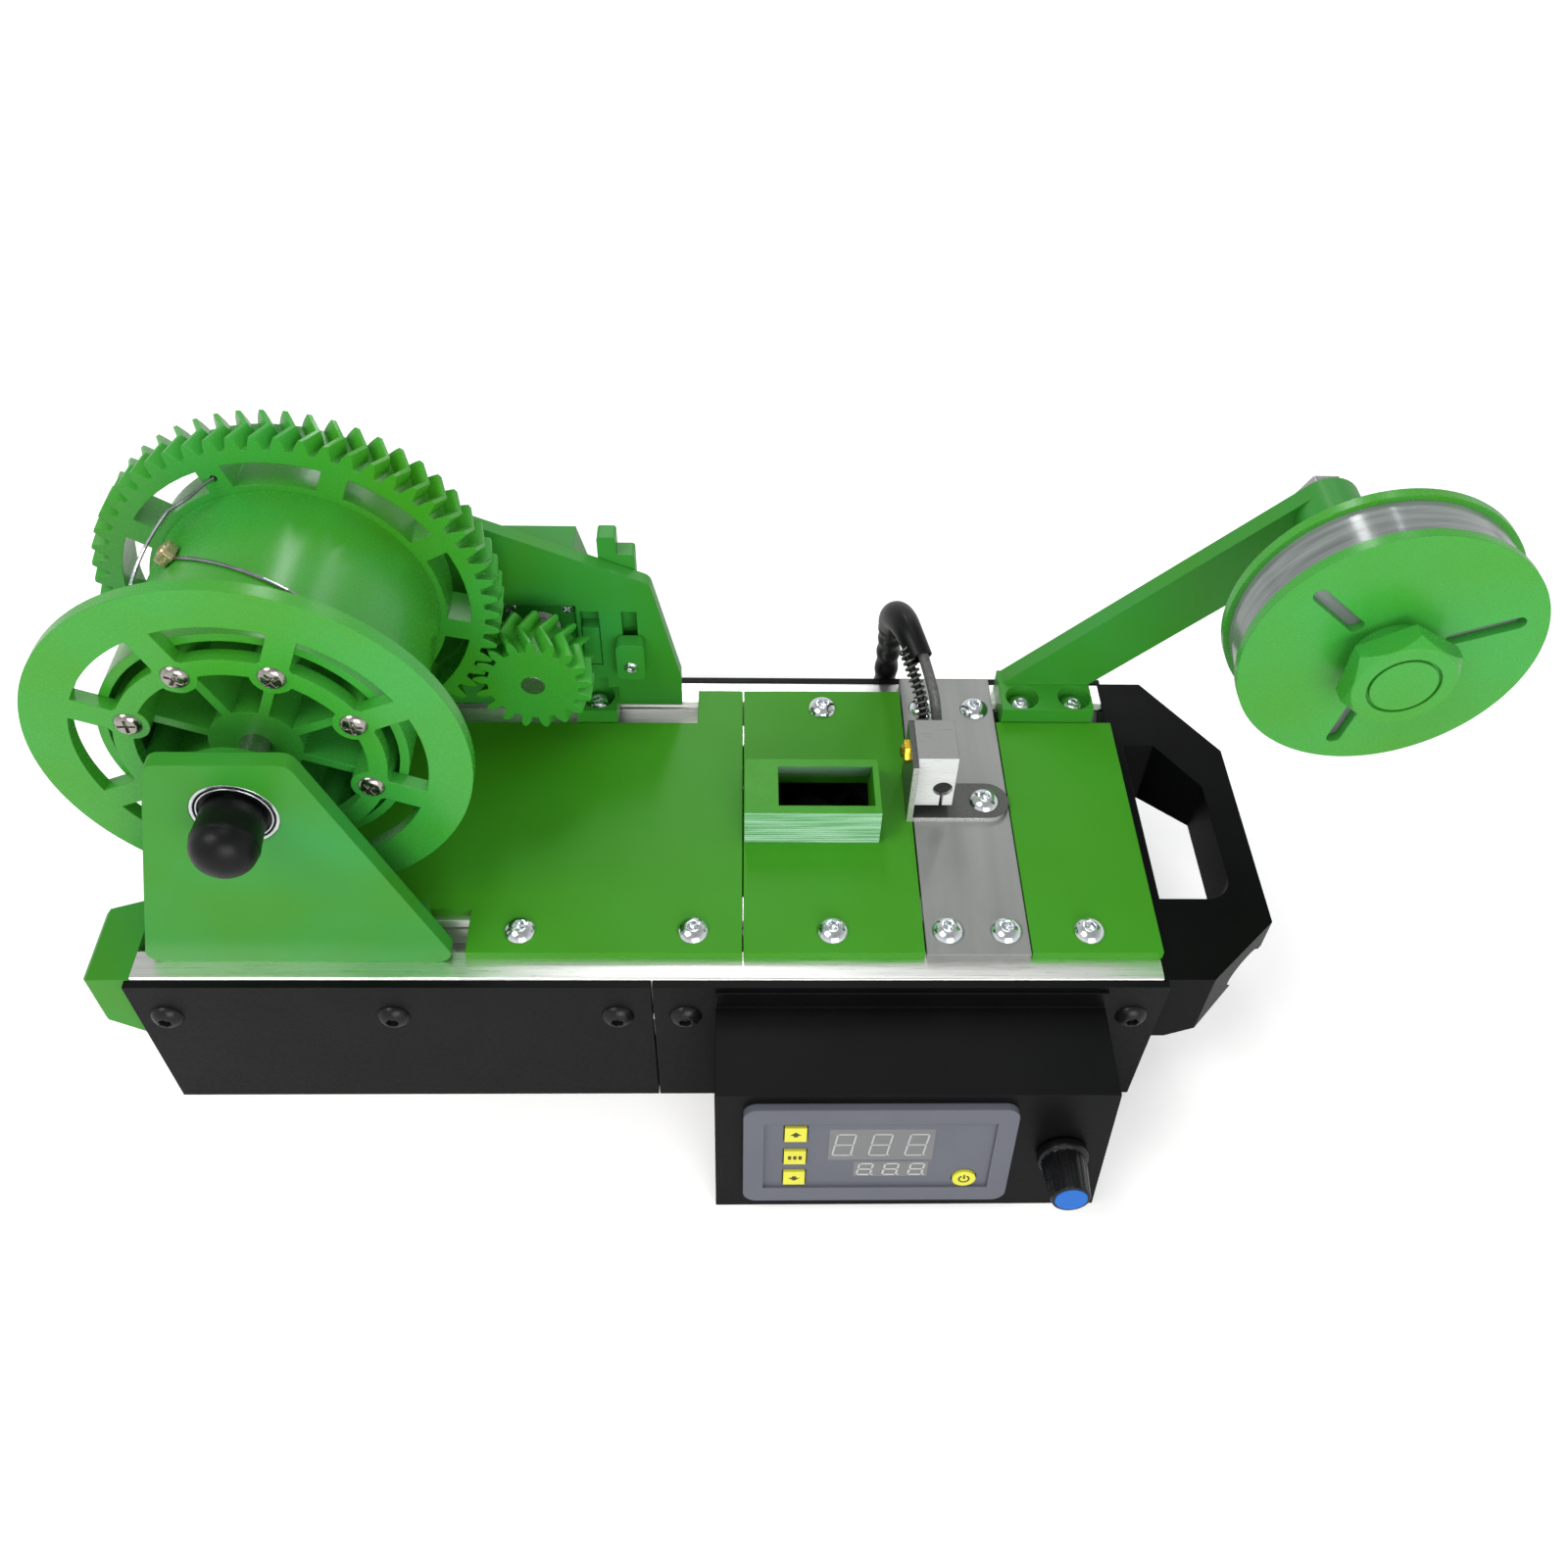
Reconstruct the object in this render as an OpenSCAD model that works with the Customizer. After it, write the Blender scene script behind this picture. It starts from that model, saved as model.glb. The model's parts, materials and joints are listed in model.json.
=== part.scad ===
// Filament extruder: a strip of plastic is pulled off the reel on the right, through the hot nozzle,
// over the cooling duct and onto the geared drum on the left.
// Frame: +X along the rails to the handle, +Y to the back, +Z up, origin at the centre of the underside.

/* [Frame] */
// Length of the two aluminium rails
rail_len = 292; // [280:1:310]
// Side of the square slotted rail profile
profile = 30; // [29:0.5:32]
// Width over both rails
frame_w = 120; // [118:1:126]
// Height from the table to the top of the rails
frame_h = 60; // [58:1:70]
// Width of the neck of a rail slot
slot_neck = 8.2; // [7.5:0.1:9]
// Width of a rail slot at the outer face
slot_mouth = 11; // [10:0.5:12]
// Depth of the lips of a rail slot
slot_lip = 2.2; // [1.8:0.1:2.6]
// Inner width of a rail slot
slot_cavity = 16; // [14:0.5:17]
// Depth of a rail slot
slot_depth = 9; // [8:0.25:10]
// Radius of the bore along a rail
rail_bore_r = 3.4; // [3:0.1:4]
// Length of the green end caps
cap_len = 13; // [8:0.5:20]

/* [Panels and tray] */
// Thickness of the black side skirts
skirt_t = 2.4; // [2:0.2:3]
// Overhang of the skirts past the rail ends
skirt_over = 1.2; // [0.6:0.2:2]
// Place of the seam of the front skirts, as a share of the rails
skirt_seam_share = 0.49932; // [0.45:0.00001:0.52]
// Width of the seams between panels
seam_gap = 0.4; // [0.3:0.1:0.8]
// Thickness of the floor and ends of the tray
tray_t = 3; // [2:0.5:4]

/* [Deck] */
// Thickness of the green deck plates
deck_t = 3; // [2.5:0.5:4]
// Setback of the deck from the faces of the rails
deck_inset = 7.3; // [6:0.1:8]
// Place of the left deck seam, as a share of the rails
deck_seam_share = 0.58733; // [0.575:0.00001:0.592]
// Radius of the clearance holes for the screws
screw_hole_r = 2.6; // [2.55:0.05:2.8]
// Height of the cooling duct above the deck
duct_h = 13.8; // [10:0.2:18]
// Length of the cooling duct along the rails
duct_len = 41; // [38:0.5:44]

/* [Drum] */
// Distance from the left rail end to the drum axis
drum_from_left = 44.9; // [44:0.1:47]
// Height of the drum axis above the rails
drum_above = 64.4; // [63:0.2:68]
// Outer radius of the drum barrel
barrel_r = 39; // [37:0.5:40]
// Wall of the drum barrel
barrel_wall = 2.5; // [2:0.25:3]
// Outer radius of the drum flange
flange_r = 56; // [52:0.5:58]
// Inner radius of the rim of the drum flange
flange_rim_r = 44.5; // [43:0.5:46]
// Thickness of the drum flange
flange_t = 4; // [3:0.25:5]
// Number of screws and ribs in the drum
rib_count = 8; // [6:1:8]
// Radius of the circle of the flange screws
rib_circle_r = 30.5; // [29:0.5:31]
// Radius of the drum axle
axle_r = 4; // [3.5:0.1:4.1]

/* [Gears] */
// Module of the herringbone gears
gear_module = 1.9; // [1.85:0.01:1.94]
// Teeth of the drum gear
gear_teeth = 57; // [57:1:57]
// Teeth of the pinion
pinion_teeth = 17; // [17:1:17]
// Width of the drum gear
gear_w = 12; // [10:0.5:12.5]
// Width of the pinion
pinion_w = 14; // [13:0.5:15]
// Spokes of the drum gear
gear_spokes = 9; // [6:1:10]
// Radius of the motor shaft
shaft_r = 3.6; // [2.5:0.1:4]

/* [Brackets and motor] */
// Thickness of the bracket plates
bracket_t = 4.5; // [4:0.25:5]
// Setback of the bracket plates from the faces of the frame
bracket_inset = 6.2; // [6:0.1:7]
// Height of the bracket plates above the rails
bracket_h = 82.5; // [80:0.5:86]
// Outer radius of the ball bearings
bearing_r = 11; // [10.5:0.25:11.5]
// Width of the ball bearings
bearing_w = 7; // [6:0.25:7.5]
// Length of the gearbox of the motor
gearbox_len = 46; // [44:0.5:47]
// Height of the gearbox of the motor
gearbox_h = 32; // [30:0.5:32]
// Depth of the gearbox of the motor
gearbox_d = 22; // [20:0.5:23]
// Radius of the motor can
motor_r = 9.5; // [8:0.25:10]
// Wall of the motor cover
cover_wall = 2; // [1.6:0.1:2.2]

/* [Hot end] */
// Place of the steel plate under the hot end, as a share of the rails
plate_share = 0.76781; // [0.766:0.00001:0.774]
// Width of the steel plate
plate_w = 30; // [29:0.25:30.5]
// Width of the heater block
block_w = 12; // [11:0.25:13]
// Depth of the heater block
block_d = 16; // [15:0.25:18]
// Height of the heater block
block_h = 21; // [18:0.5:23]
// Radius of the heater cartridge
cartridge_r = 3; // [2.8:0.1:3.2]
// Radius of the bore of the nozzle
nozzle_bore_r = 0.9; // [0.8:0.05:1]
// Radius of the heater lead
lead_r = 1.7; // [1.4:0.1:2]

/* [Reel] */
// Distance from the right rail end to the reel axis
reel_from_right = 53.5; // [52:0.1:58]
// Height of the reel axis above the rails
reel_above = 78.2; // [76:0.1:82]
// Radius of the reel discs
reel_r = 40.4; // [36:0.1:42]
// Thickness of the reel discs
reel_disc_t = 3; // [2.5:0.25:4]
// Width of the wound strip
strip_w = 13.4; // [11:0.1:14]
// Radius of the wound strip
strip_r = 38.9; // [32:0.1:39.4]
// Width across the flats of the reel nut
reel_nut_af = 27.5; // [26:0.5:32]
// Height of the bar of the arm
arm_h = 20; // [18:0.5:21]
// Thickness of the arm
arm_t = 6; // [5:0.25:6.5]

/* [Handle] */
// Reach of the handle past the rails
handle_reach = 36; // [34:0.5:42]
// Width of the grip of the handle
grip_w = 9.6; // [8:0.2:11]

/* [Control box] */
// Distance from the control box to the right rail end
box_from_right = 16.1; // [14:0.1:18]
// Length of the control box
box_len = 112; // [111:0.5:114]
// Depth of the control box at its top edge
box_top_d = 31.7; // [30:0.1:34]
// Depth of the control box at the table
box_foot_d = 39.3; // [38:0.1:42]
// Drop of the top of the control box below the rails
box_drop = 9; // [8:0.25:10]
// Wall of the control box
box_wall = 2.4; // [2:0.2:2.8]
// Width of the bezel of the temperature controller
bezel_w = 76.5; // [75:0.5:79]
// Height of the bezel of the temperature controller
bezel_h = 42.5; // [41:0.5:43.5]
// Radius of the skirt of the knob
knob_r = 7.4; // [6.8:0.1:8]
// Length of the knob
knob_len = 15.5; // [13:0.5:18]

/* [Screws] */
// Radius of the domed screw heads
head_r = 4.75; // [4:0.05:4.75]
// Height of the domed screw heads
head_h = 2.75; // [2:0.05:3]
// Radius of the screw shanks
shank_r = 2.45; // [2:0.05:2.5]

/* [Hidden] */
$fn = 64;
cut = 1;                 // overrun of every cut
cord_steps = 10;         // rings between two points of a wire
cord_sides = 8;          // sides of a wire

// Edges of the frame
left = -rail_len / 2;
right = rail_len / 2;
front = -frame_w / 2;
back = frame_w / 2;
top = frame_h;
deck_top = top + deck_t;
slot_y = profile / 2;    // distance from a frame face to the slot of its rail
run_fit = 0.05;          // radial clearance of a running fit
part_gap = 0.4;          // gap between pieces that don't touch

// A flat shape drawn in X and Z, as seen from the front, pushed back from y0 by t
module from_front(y0, t) translate([0, y0 + t, 0]) rotate([90, 0, 0]) linear_extrude(t) children();

// A flat shape drawn in Y and Z, as seen from the right, pushed to the right from x0 by t
module from_left(x0, t) translate([x0, 0, 0]) rotate([90, 0, 90]) linear_extrude(t) children();

// A cylinder along Y that starts at y0
module rod_y(x, y0, z, r, len) translate([x, y0, z]) rotate([-90, 0, 0]) cylinder(h = len, r = r);

// A cylinder along X that starts at x0
module rod_x(x0, y, z, r, len) translate([x0, y, z]) rotate([0, 90, 0]) cylinder(h = len, r = r);

// A rectangle with round corners, from its lower left corner
module round_rect(w, h, r) {
    translate([r, 0]) square([w - 2 * r, h]);
    translate([0, r]) square([w, h - 2 * r]);
    for (x = [r, w - r], y = [r, h - r]) translate([x, y]) circle(r);
}

// A regular ring of copies
module around(n, start = 0) for (i = [0:n - 1]) rotate(start + i * 360 / n) children();

// A tube swept along points by a polyhedron
function unit(v) = v / norm(v);
function tangent(p, i) = unit(p[min(i + 1, len(p) - 1)] - p[max(i - 1, 0)]);
function side_of(t) = unit(cross(abs(t[0]) < 0.9 ? [1, 0, 0] : [0, 1, 0], t));
function carry(s, t) = unit(s - t * (s * t));
function sides_along(p, i = 0, s = undef) =
    i == len(p) ? [] :
    let (t = tangent(p, i), n = i == 0 ? side_of(t) : carry(s, t)) concat([n], sides_along(p, i + 1, n));
function spline_point(a, b, c, d, t) =
    0.5 * (2 * b + (c - a) * t + (2 * a - 5 * b + 4 * c - d) * t * t + (3 * b - a - 3 * c + d) * t * t * t);
function smooth(p, steps) = concat([for (i = [0:len(p) - 2], k = [0:steps - 1])
    spline_point(p[max(i - 1, 0)], p[i], p[i + 1], p[min(i + 2, len(p) - 1)], k / steps)], [p[len(p) - 1]]);

module tube_along(p, r, n = cord_sides) {
    s = sides_along(p);
    rings = [for (i = [0:len(p) - 1], k = [0:n - 1])
        let (t = tangent(p, i), a = 360 * k / n) p[i] + r * (cos(a) * s[i] + sin(a) * cross(t, s[i]))];
    walls = [for (i = [0:len(p) - 2], k = [0:n - 1])
        let (a = i * n + k, b = i * n + (k + 1) % n) each [[a, b, a + n], [b, b + n, a + n]]];
    first = [for (k = [1:n - 2]) [0, k + 1, k]];
    e = (len(p) - 1) * n;
    last = [for (k = [1:n - 2]) [e, e + k, e + k + 1]];
    polyhedron([each rings], concat(walls, first, last));
}

// Frame

// One slot of the rail, at the right-hand face of a profile centred on the origin
module slot_shape() {
    f = profile / 2;
    polygon([[f + cut, -slot_mouth / 2], [f, -slot_mouth / 2], [f - slot_lip / 2, -slot_neck / 2],
        [f - slot_lip, -slot_neck / 2], [f - slot_lip, -slot_cavity / 2], [f - slot_depth * 0.55, -slot_cavity / 2],
        [f - slot_depth, -slot_neck / 2], [f - slot_depth, slot_neck / 2], [f - slot_depth * 0.55, slot_cavity / 2],
        [f - slot_lip, slot_cavity / 2], [f - slot_lip, slot_neck / 2], [f - slot_lip / 2, slot_neck / 2],
        [f, slot_mouth / 2], [f + cut, slot_mouth / 2]]);
}

module rail_shape() difference() {
    translate([-profile / 2, -profile / 2]) round_rect(profile, profile, slot_lip / 2);
    circle(rail_bore_r);
    around(4) slot_shape();
}

module rail(y) color([0.86, 0.87, 0.88])
    translate([left, y, top - profile / 2]) rotate([90, 0, 90]) linear_extrude(rail_len) rail_shape();

module front_rail() rail(front + profile / 2);
module rear_rail() rail(back - profile / 2);

module cross_rail() color([0.86, 0.87, 0.88])
    translate([left + profile / 2, back - profile, top - profile / 2]) rotate([90, 0, 0])
        linear_extrude(frame_w - 2 * profile) rail_shape();

// A tapered block that closes the left end of a rail, flush at the outer side and at the top
cap_in_share = 0.94;     // base of an end cap, of the profile
cap_out_share = 0.82;    // outer face of an end cap, of the profile
cap_drop_share = 0.68;   // height of the outer face, of the profile

module end_cap() {
    w = profile * cap_in_share;
    v = profile * cap_out_share;
    hull() {
        translate([left - slot_lip / 2, front, top - w]) cube([slot_lip / 2, w, w]);
        translate([left - cap_len, front + slot_lip / 2, top - profile * cap_drop_share])
            cube([slot_lip, v - slot_lip, profile * cap_drop_share - slot_lip / 2]);
        translate([left - cap_len + slot_lip / 2, front, top - profile * cap_drop_share])
            cube([slot_lip, v, profile * cap_drop_share]);
    }
}

module end_caps() color([0.24, 0.6, 0.15]) {
    end_cap();
    mirror([0, 1, 0]) end_cap();
}

handle_in = 28.8;        // width of the front leg of the handle
handle_back_in = 28.6;   // width of the rear leg
handle_wall = 4;         // wall that closes the frame behind the deck
handle_flat = 14.6;      // straight run of the legs beyond the rails
handle_cut_front = 20.4; // chamfer of the front corner along Y
handle_cut_back = 30.8;  // chamfer of the rear corner along Y
handle_in_cut = 12.4;    // inner chamfer along X
handle_in_round = 8;     // inner corner at the front
handle_hole_r = 6;       // access holes of the legs, for the bolts that go into the rails
handle_slope_in = 6.4;   // from the rails to the sloping underside of the grip
handle_rise = 16;        // rise of the underside at its outer end

module handle_outline() polygon([[0, 0], [handle_flat, 0], [handle_reach, handle_cut_front],
    [handle_reach, frame_w - handle_cut_back], [handle_flat, frame_w], [0, frame_w]]);

module handle_opening() {
    x1 = handle_reach - grip_w;
    y1 = frame_w - handle_back_in;
    difference() {
        polygon([[handle_wall, handle_in], [x1, handle_in], [x1, y1 - handle_cut_back * 0.58],
            [x1 - handle_in_cut, y1], [handle_wall, y1]]);
        translate([x1 - handle_in_round, handle_in]) difference() {
            translate([0, -cut]) square([handle_in_round + cut, handle_in_round + cut]);
            translate([0, handle_in_round]) circle(handle_in_round);
        }
    }
}

module handle() color([0.06, 0.06, 0.06]) difference() {
    translate([right, front, top - profile]) linear_extrude(profile) difference() {
        handle_outline();
        handle_opening();
    }
    for (y = [front + slot_y, back - slot_y]) {
        rod_x(right - cut, y, top - profile / 2, rail_bore_r, handle_wall + 2 * cut);
        rod_x(right + handle_wall, y, top - profile / 2, handle_hole_r, handle_reach);
    }
    // The underside rises towards the outer end of the grip
    from_front(front - cut, frame_w + 2 * cut) polygon([[right + handle_slope_in, top - profile],
        [right + handle_slope_in, top - profile - cut], [right + handle_reach + cut, top - profile - cut],
        [right + handle_reach + cut, top - profile + handle_rise]]);
}

// Panels and tray
tray_gap = 0.4;          // clearance between the tray and the skirts
socket_r = 5.5;          // thread of the power socket
socket_y = 22;           // distance of the power socket from the front
socket_z = 16;           // height of the power socket
rail_under = top - profile;

module base_tray() color([0.07, 0.07, 0.07]) difference() {
    union() {
        translate([left, front + tray_gap, 0]) cube([rail_len, frame_w - 2 * tray_gap, tray_t]);
        for (x = [left, right - tray_t])
            translate([x, front + tray_gap, 0]) cube([tray_t, frame_w - 2 * tray_gap, rail_under]);
    }
    rod_x(left - cut, front + socket_y, socket_z, socket_r + run_fit, tray_t + 2 * cut);
}

module power_socket() color([0.1, 0.1, 0.1]) {
    y = front + socket_y;
    difference() {
        union() {
            rod_x(left - slot_lip, y, socket_z, socket_r * 1.25, slot_lip);
            rod_x(left, y, socket_z, socket_r, profile / 2);
        }
        rod_x(left - slot_lip - cut, y, socket_z, socket_r / 2, profile / 3);
    }
    rod_x(left - slot_lip + cut, y, socket_z, socket_r / 5, profile / 4);
}

board_len = 74;          // speed board
board_w = 46;
board_t = 1.6;
board_foot = 5;          // height of its standoffs
board_x = 30;            // from the middle of the frame to its left edge
board_part_h = 12;       // tallest piece on it

module speed_board() {
    y = -board_w / 2;
    z = tray_t + board_foot;
    color([0.75, 0.72, 0.5]) for (x = [board_foot, board_len - board_foot], v = [board_foot, board_w - board_foot])
        translate([board_x + x, y + v, tray_t]) cylinder(h = board_foot, r = board_foot / 2);
    color([0.05, 0.3, 0.2]) translate([board_x, y, z]) cube([board_len, board_w, board_t]);
    color([0.1, 0.3, 0.7]) translate([board_x + board_foot, y + board_foot * 2, z + board_t])
        cube([board_foot * 2, board_w - board_foot * 4, board_part_h * 0.8]);
    color([0.6, 0.62, 0.65]) translate([board_x + board_len / 2, y + board_w / 3, z + board_t])
        cube([board_part_h * 1.5, board_w / 3, board_part_h]);
    color([0.1, 0.1, 0.1]) translate([board_x + board_len * 0.85, y + board_w / 4, z + board_t])
        cylinder(h = board_part_h, r = board_foot);
}

skirt_drop = 0.3;        // the skirts stop a little below the rail tops
skirt_h = top - skirt_drop;
screw_z = top - slot_y;  // the skirt screws sit in the rail slots
skirt_left_end = left - skirt_over;
skirt_right_end = right + skirt_over;
seam_x = left + rail_len * skirt_seam_share;
skirt_screw_in = 7.1;    // outer skirt screws, from the rail ends
skirt_screw_seam = 10.2; // left skirt screw beside the seam
skirt_screw_seam_right = 9.3;
skirt_screws_x = [left + skirt_screw_in, (left + skirt_screw_in + seam_x - skirt_screw_seam) / 2,
    seam_x - skirt_screw_seam, seam_x + skirt_screw_seam_right, right - skirt_screw_in];
skirt_window_w = 60;     // opening in the skirt behind the control box
skirt_window_h = 24;

module skirt(x0, x1) translate([x0, front - skirt_t, 0]) cube([x1 - x0, skirt_t, skirt_h]);
module skirt_holes() for (x = skirt_screws_x) rod_y(x, front - skirt_t - cut, screw_z, screw_hole_r, skirt_t + 2 * cut);

module front_skirt_left() color([0.06, 0.06, 0.06]) difference() {
    skirt(skirt_left_end, seam_x - seam_gap / 2);
    skirt_holes();
}

box_x0 = right - box_from_right - box_len;
box_x1 = box_x0 + box_len;

module front_skirt_right() color([0.06, 0.06, 0.06]) difference() {
    skirt(seam_x + seam_gap / 2, skirt_right_end);
    skirt_holes();
    translate([(box_x0 + box_x1 - skirt_window_w) / 2, front - skirt_t - cut, tray_t])
        cube([skirt_window_w, skirt_t + 2 * cut, skirt_window_h]);
}

module rear_skirt() color([0.06, 0.06, 0.06]) difference() {
    mirror([0, 1, 0]) difference() {
        skirt(skirt_left_end, skirt_right_end);
        skirt_holes();
    }
    rod_y(lead_end[0], back - cut, lead_end[2], boot_r + run_fit, skirt_t + 2 * cut);
}

// A domed screw head with a socket, drawn upwards from its seat, with its shank below
module dome_screw(len) {
    difference() {
        rotate_extrude() polygon(concat([[0, 0]],
            [for (i = [0:6]) [head_r * cos(i * 11), head_h * sin(i * 11) / sin(66)]], [[0, head_h]]));
        translate([0, 0, head_h / 2]) cylinder(h = head_h, r = head_r * 0.42, $fn = 6);
    }
    translate([0, 0, -len]) cylinder(h = len, r = shank_r);
}

skirt_screw_len = skirt_t + slot_depth * 0.7;

module skirt_screws() color([0.1, 0.1, 0.1]) {
    for (x = skirt_screws_x) {
        translate([x, front - skirt_t, screw_z]) rotate([90, 0, 0]) dome_screw(skirt_screw_len);
        translate([x, back + skirt_t, screw_z]) rotate([-90, 0, 0]) dome_screw(skirt_screw_len);
    }
}

// Deck
notch_front = 22.4;      // front notch of the left deck, from the front face
notch_back = 22.3;       // rear notch of the left deck, from the rear face
notch_right = 92.9;      // right end of the front notch, from the left rail end
notch_back_right = 156.6;
arm_notch = 20.8;        // rear notch for the arm, from the rear face
deck_right_over = 0.5;   // the deck passes the rail end a little
deck_front = front + deck_inset;
deck_back = back - deck_inset;
seam_deck = left + rail_len * deck_seam_share;
plate_x0 = left + rail_len * plate_share;
plate_x1 = plate_x0 + plate_w;
deck_plate_gap = 0.5;    // between the middle deck and the steel plate
deck_middle_x1 = plate_x0 - deck_plate_gap;
deck_screw_notch = 14.7; // first screw of the left deck, from the front notch
deck_screw_seam = 14.3;  // second one, from the seam
deck_screw_right = 19.9; // screw of the right deck, from the rail end
plate_screw_in = 6.7;    // plate screws, from its edges
slot_front = front + slot_y;
slot_back = back - slot_y;

deck_screw_places = concat(
    [for (x = [left + notch_right + deck_screw_notch, seam_deck - deck_screw_seam]) [x, slot_front]],
    [for (y = [slot_front, slot_back]) [(seam_deck + deck_middle_x1) / 2, y]],
    [[right - deck_screw_right, slot_front]]);
plate_screw_places = [for (x = [plate_x0 + plate_screw_in, plate_x1 - plate_screw_in + part_gap],
    y = [slot_front, slot_back]) [x, y]];

module deck_plate(x0, x1, y0, y1) translate([x0, y0, top]) cube([x1 - x0, y1 - y0, deck_t]);
module deck_holes() for (p = deck_screw_places)
    translate([p[0], p[1], top - cut]) cylinder(h = deck_t + 2 * cut, r = screw_hole_r);

module back_notch() translate([left - cut, back - notch_back, top - cut])
    cube([notch_back_right + cut, notch_back, deck_t + 2 * cut]);

module deck_left() color([0.25, 0.62, 0.12]) difference() {
    deck_plate(left, seam_deck - seam_gap / 2, deck_front, deck_back);
    translate([left - cut, deck_front - cut, top - cut])
        cube([notch_right + cut, notch_front - deck_inset + cut, deck_t + 2 * cut]);
    back_notch();
    deck_holes();
}

duct_x0 = seam_deck + part_gap;
duct_x1 = duct_x0 + duct_len;
duct_fore = 12.4;        // from the middle of the frame to the front of the duct
duct_front = (front + back) / 2 - duct_fore;
duct_top_d = 21.8;       // depth of the top of the duct
duct_foot_d = 31.2;      // depth of its foot
duct_slot_in = 3;        // from the front of the duct to its slot
duct_slot_d = 15.8;      // depth of the slot
duct_slot_foot_d = 24;   // depth of the slot at the deck
duct_slot_x = 10.2;      // from the left of the duct to its slot
duct_slot_w = 28.9;

module deck_middle() color([0.25, 0.62, 0.12]) difference() {
    deck_plate(seam_deck + seam_gap / 2, deck_middle_x1, deck_front, deck_back);
    back_notch();
    deck_holes();
    translate([duct_x0 + duct_slot_x, duct_front + duct_slot_in, top - cut])
        cube([duct_slot_w, duct_slot_foot_d, deck_t + 2 * cut]);
}

module deck_right() color([0.25, 0.62, 0.12]) difference() {
    deck_plate(plate_x1 + part_gap, right + deck_right_over, deck_front, back - arm_notch - part_gap);
    deck_holes();
}

module deck_screws() color([0.8, 0.81, 0.83]) {
    for (p = deck_screw_places) translate([p[0], p[1], deck_top]) dome_screw(deck_t + slot_depth * 0.7);
    for (p = plate_screw_places) translate([p[0], p[1], deck_top]) dome_screw(deck_t + slot_depth * 0.7);
    translate([foot_screw_x, foot_mid_y, deck_top + bracket_sheet]) dome_screw(bracket_sheet + deck_t);
}

module cooling_duct() color([0.25, 0.62, 0.14]) difference() {
    from_left(duct_x0, duct_len) polygon([[duct_front, deck_top], [duct_front + duct_foot_d, deck_top],
        [duct_front + duct_top_d, deck_top + duct_h], [duct_front, deck_top + duct_h]]);
    from_left(duct_x0 + duct_slot_x, duct_slot_w) translate([duct_front + duct_slot_in, deck_top]) polygon([
        [0, -cut], [duct_slot_foot_d, -cut], [duct_slot_foot_d, 0], [duct_slot_d, duct_h],
        [duct_slot_d, duct_h + cut], [0, duct_h + cut]]);
}

fan_side = (frame_w - 2 * profile) * 2 / 3;
fan_h = 10;
fan_bore_r = fan_side * 0.475;
fan_tip_gap = 0.6;
fan_hub_r = fan_side * 0.225;
fan_blades = 7;
fan_x = duct_x0 + fan_side / 2 + part_gap;
fan_hole_in = fan_side / 10;
fan_bar = 3;             // bars that hold the motor of the fan
fan_blade_t = 1.2;

module fan_frame() color([0.12, 0.12, 0.12]) translate([fan_x, 0, top - fan_h]) {
    difference() {
        translate([-fan_side / 2, -fan_side / 2, 0]) cube([fan_side, fan_side, fan_h]);
        translate([0, 0, -cut]) cylinder(h = fan_h + 2 * cut, r = fan_bore_r);
        for (x = [-1, 1], y = [-1, 1]) translate([x * (fan_side / 2 - fan_hole_in), y * (fan_side / 2 - fan_hole_in), -cut])
            cylinder(h = fan_h + 2 * cut, r = fan_hole_in * 0.42);
    }
    for (a = [45, 135]) rotate(a) translate([-fan_bore_r - fan_tip_gap / 2, -fan_bar / 2, 0])
        cube([2 * fan_bore_r + fan_tip_gap, fan_bar, fan_blade_t]);
    cylinder(h = fan_blade_t, r = fan_hub_r);
}

module fan_rotor() color([0.16, 0.16, 0.16]) translate([fan_x, 0, top - fan_h + fan_blade_t + run_fit * 4]) {
    h = fan_h - fan_blade_t - run_fit * 4 - fan_tip_gap;
    cylinder(h = h, r = fan_hub_r);
    around(fan_blades) translate([fan_hub_r - fan_tip_gap, 0, h / 2]) rotate([38, 0, 0])
        translate([0, -fan_blade_t / 2, -h * 0.55])
            cube([fan_bore_r - fan_hub_r - fan_tip_gap, fan_blade_t, h * 1.1]);
}

// Hot end
bracket_sheet = 1.8;     // thickness of the angle that carries the block
foot_fore = 4;           // from the middle of the frame to the front edge of its foot
foot_front = (front + back) / 2 - foot_fore;
foot_w = 14.3;           // width of its foot
foot_len = 32.4;         // length of its foot
foot_screw_in = 7.7;     // screw, from the round end
angle_over = 2.4;        // the angle stands out past the plate
angle_x0 = plate_x0 - angle_over;
foot_mid_y = foot_front + foot_w / 2;
foot_screw_x = angle_x0 + foot_len - foot_screw_in;
upright_back = 20;       // depth of the upright
upright_h = 24.4;        // height of the upright above the plate
block_gap = 3;           // air under the block
block_x0 = angle_x0 + bracket_sheet;
block_in = 2.7;          // from the front of the foot to the block
block_y0 = foot_front + block_in;
block_z0 = deck_top + bracket_sheet + block_gap;
block_top = block_z0 + block_h;
nozzle_y = block_y0 + block_d / 2;
nozzle_drop = 5.3;       // nozzle axis below the top of the block
nozzle_z = block_top - nozzle_drop;
nozzle_r = 2.9;          // threaded part of the nozzle
nozzle_hex = 7;          // across its flats
nozzle_hex_len = 3;
nozzle_tip = 2.4;
cartridge_x = block_x0 + block_w * 0.7;
cartridge_up = 7.45;     // cartridge above the underside of the block
cartridge_z = block_z0 + cartridge_up;
block_slit = 1;

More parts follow.
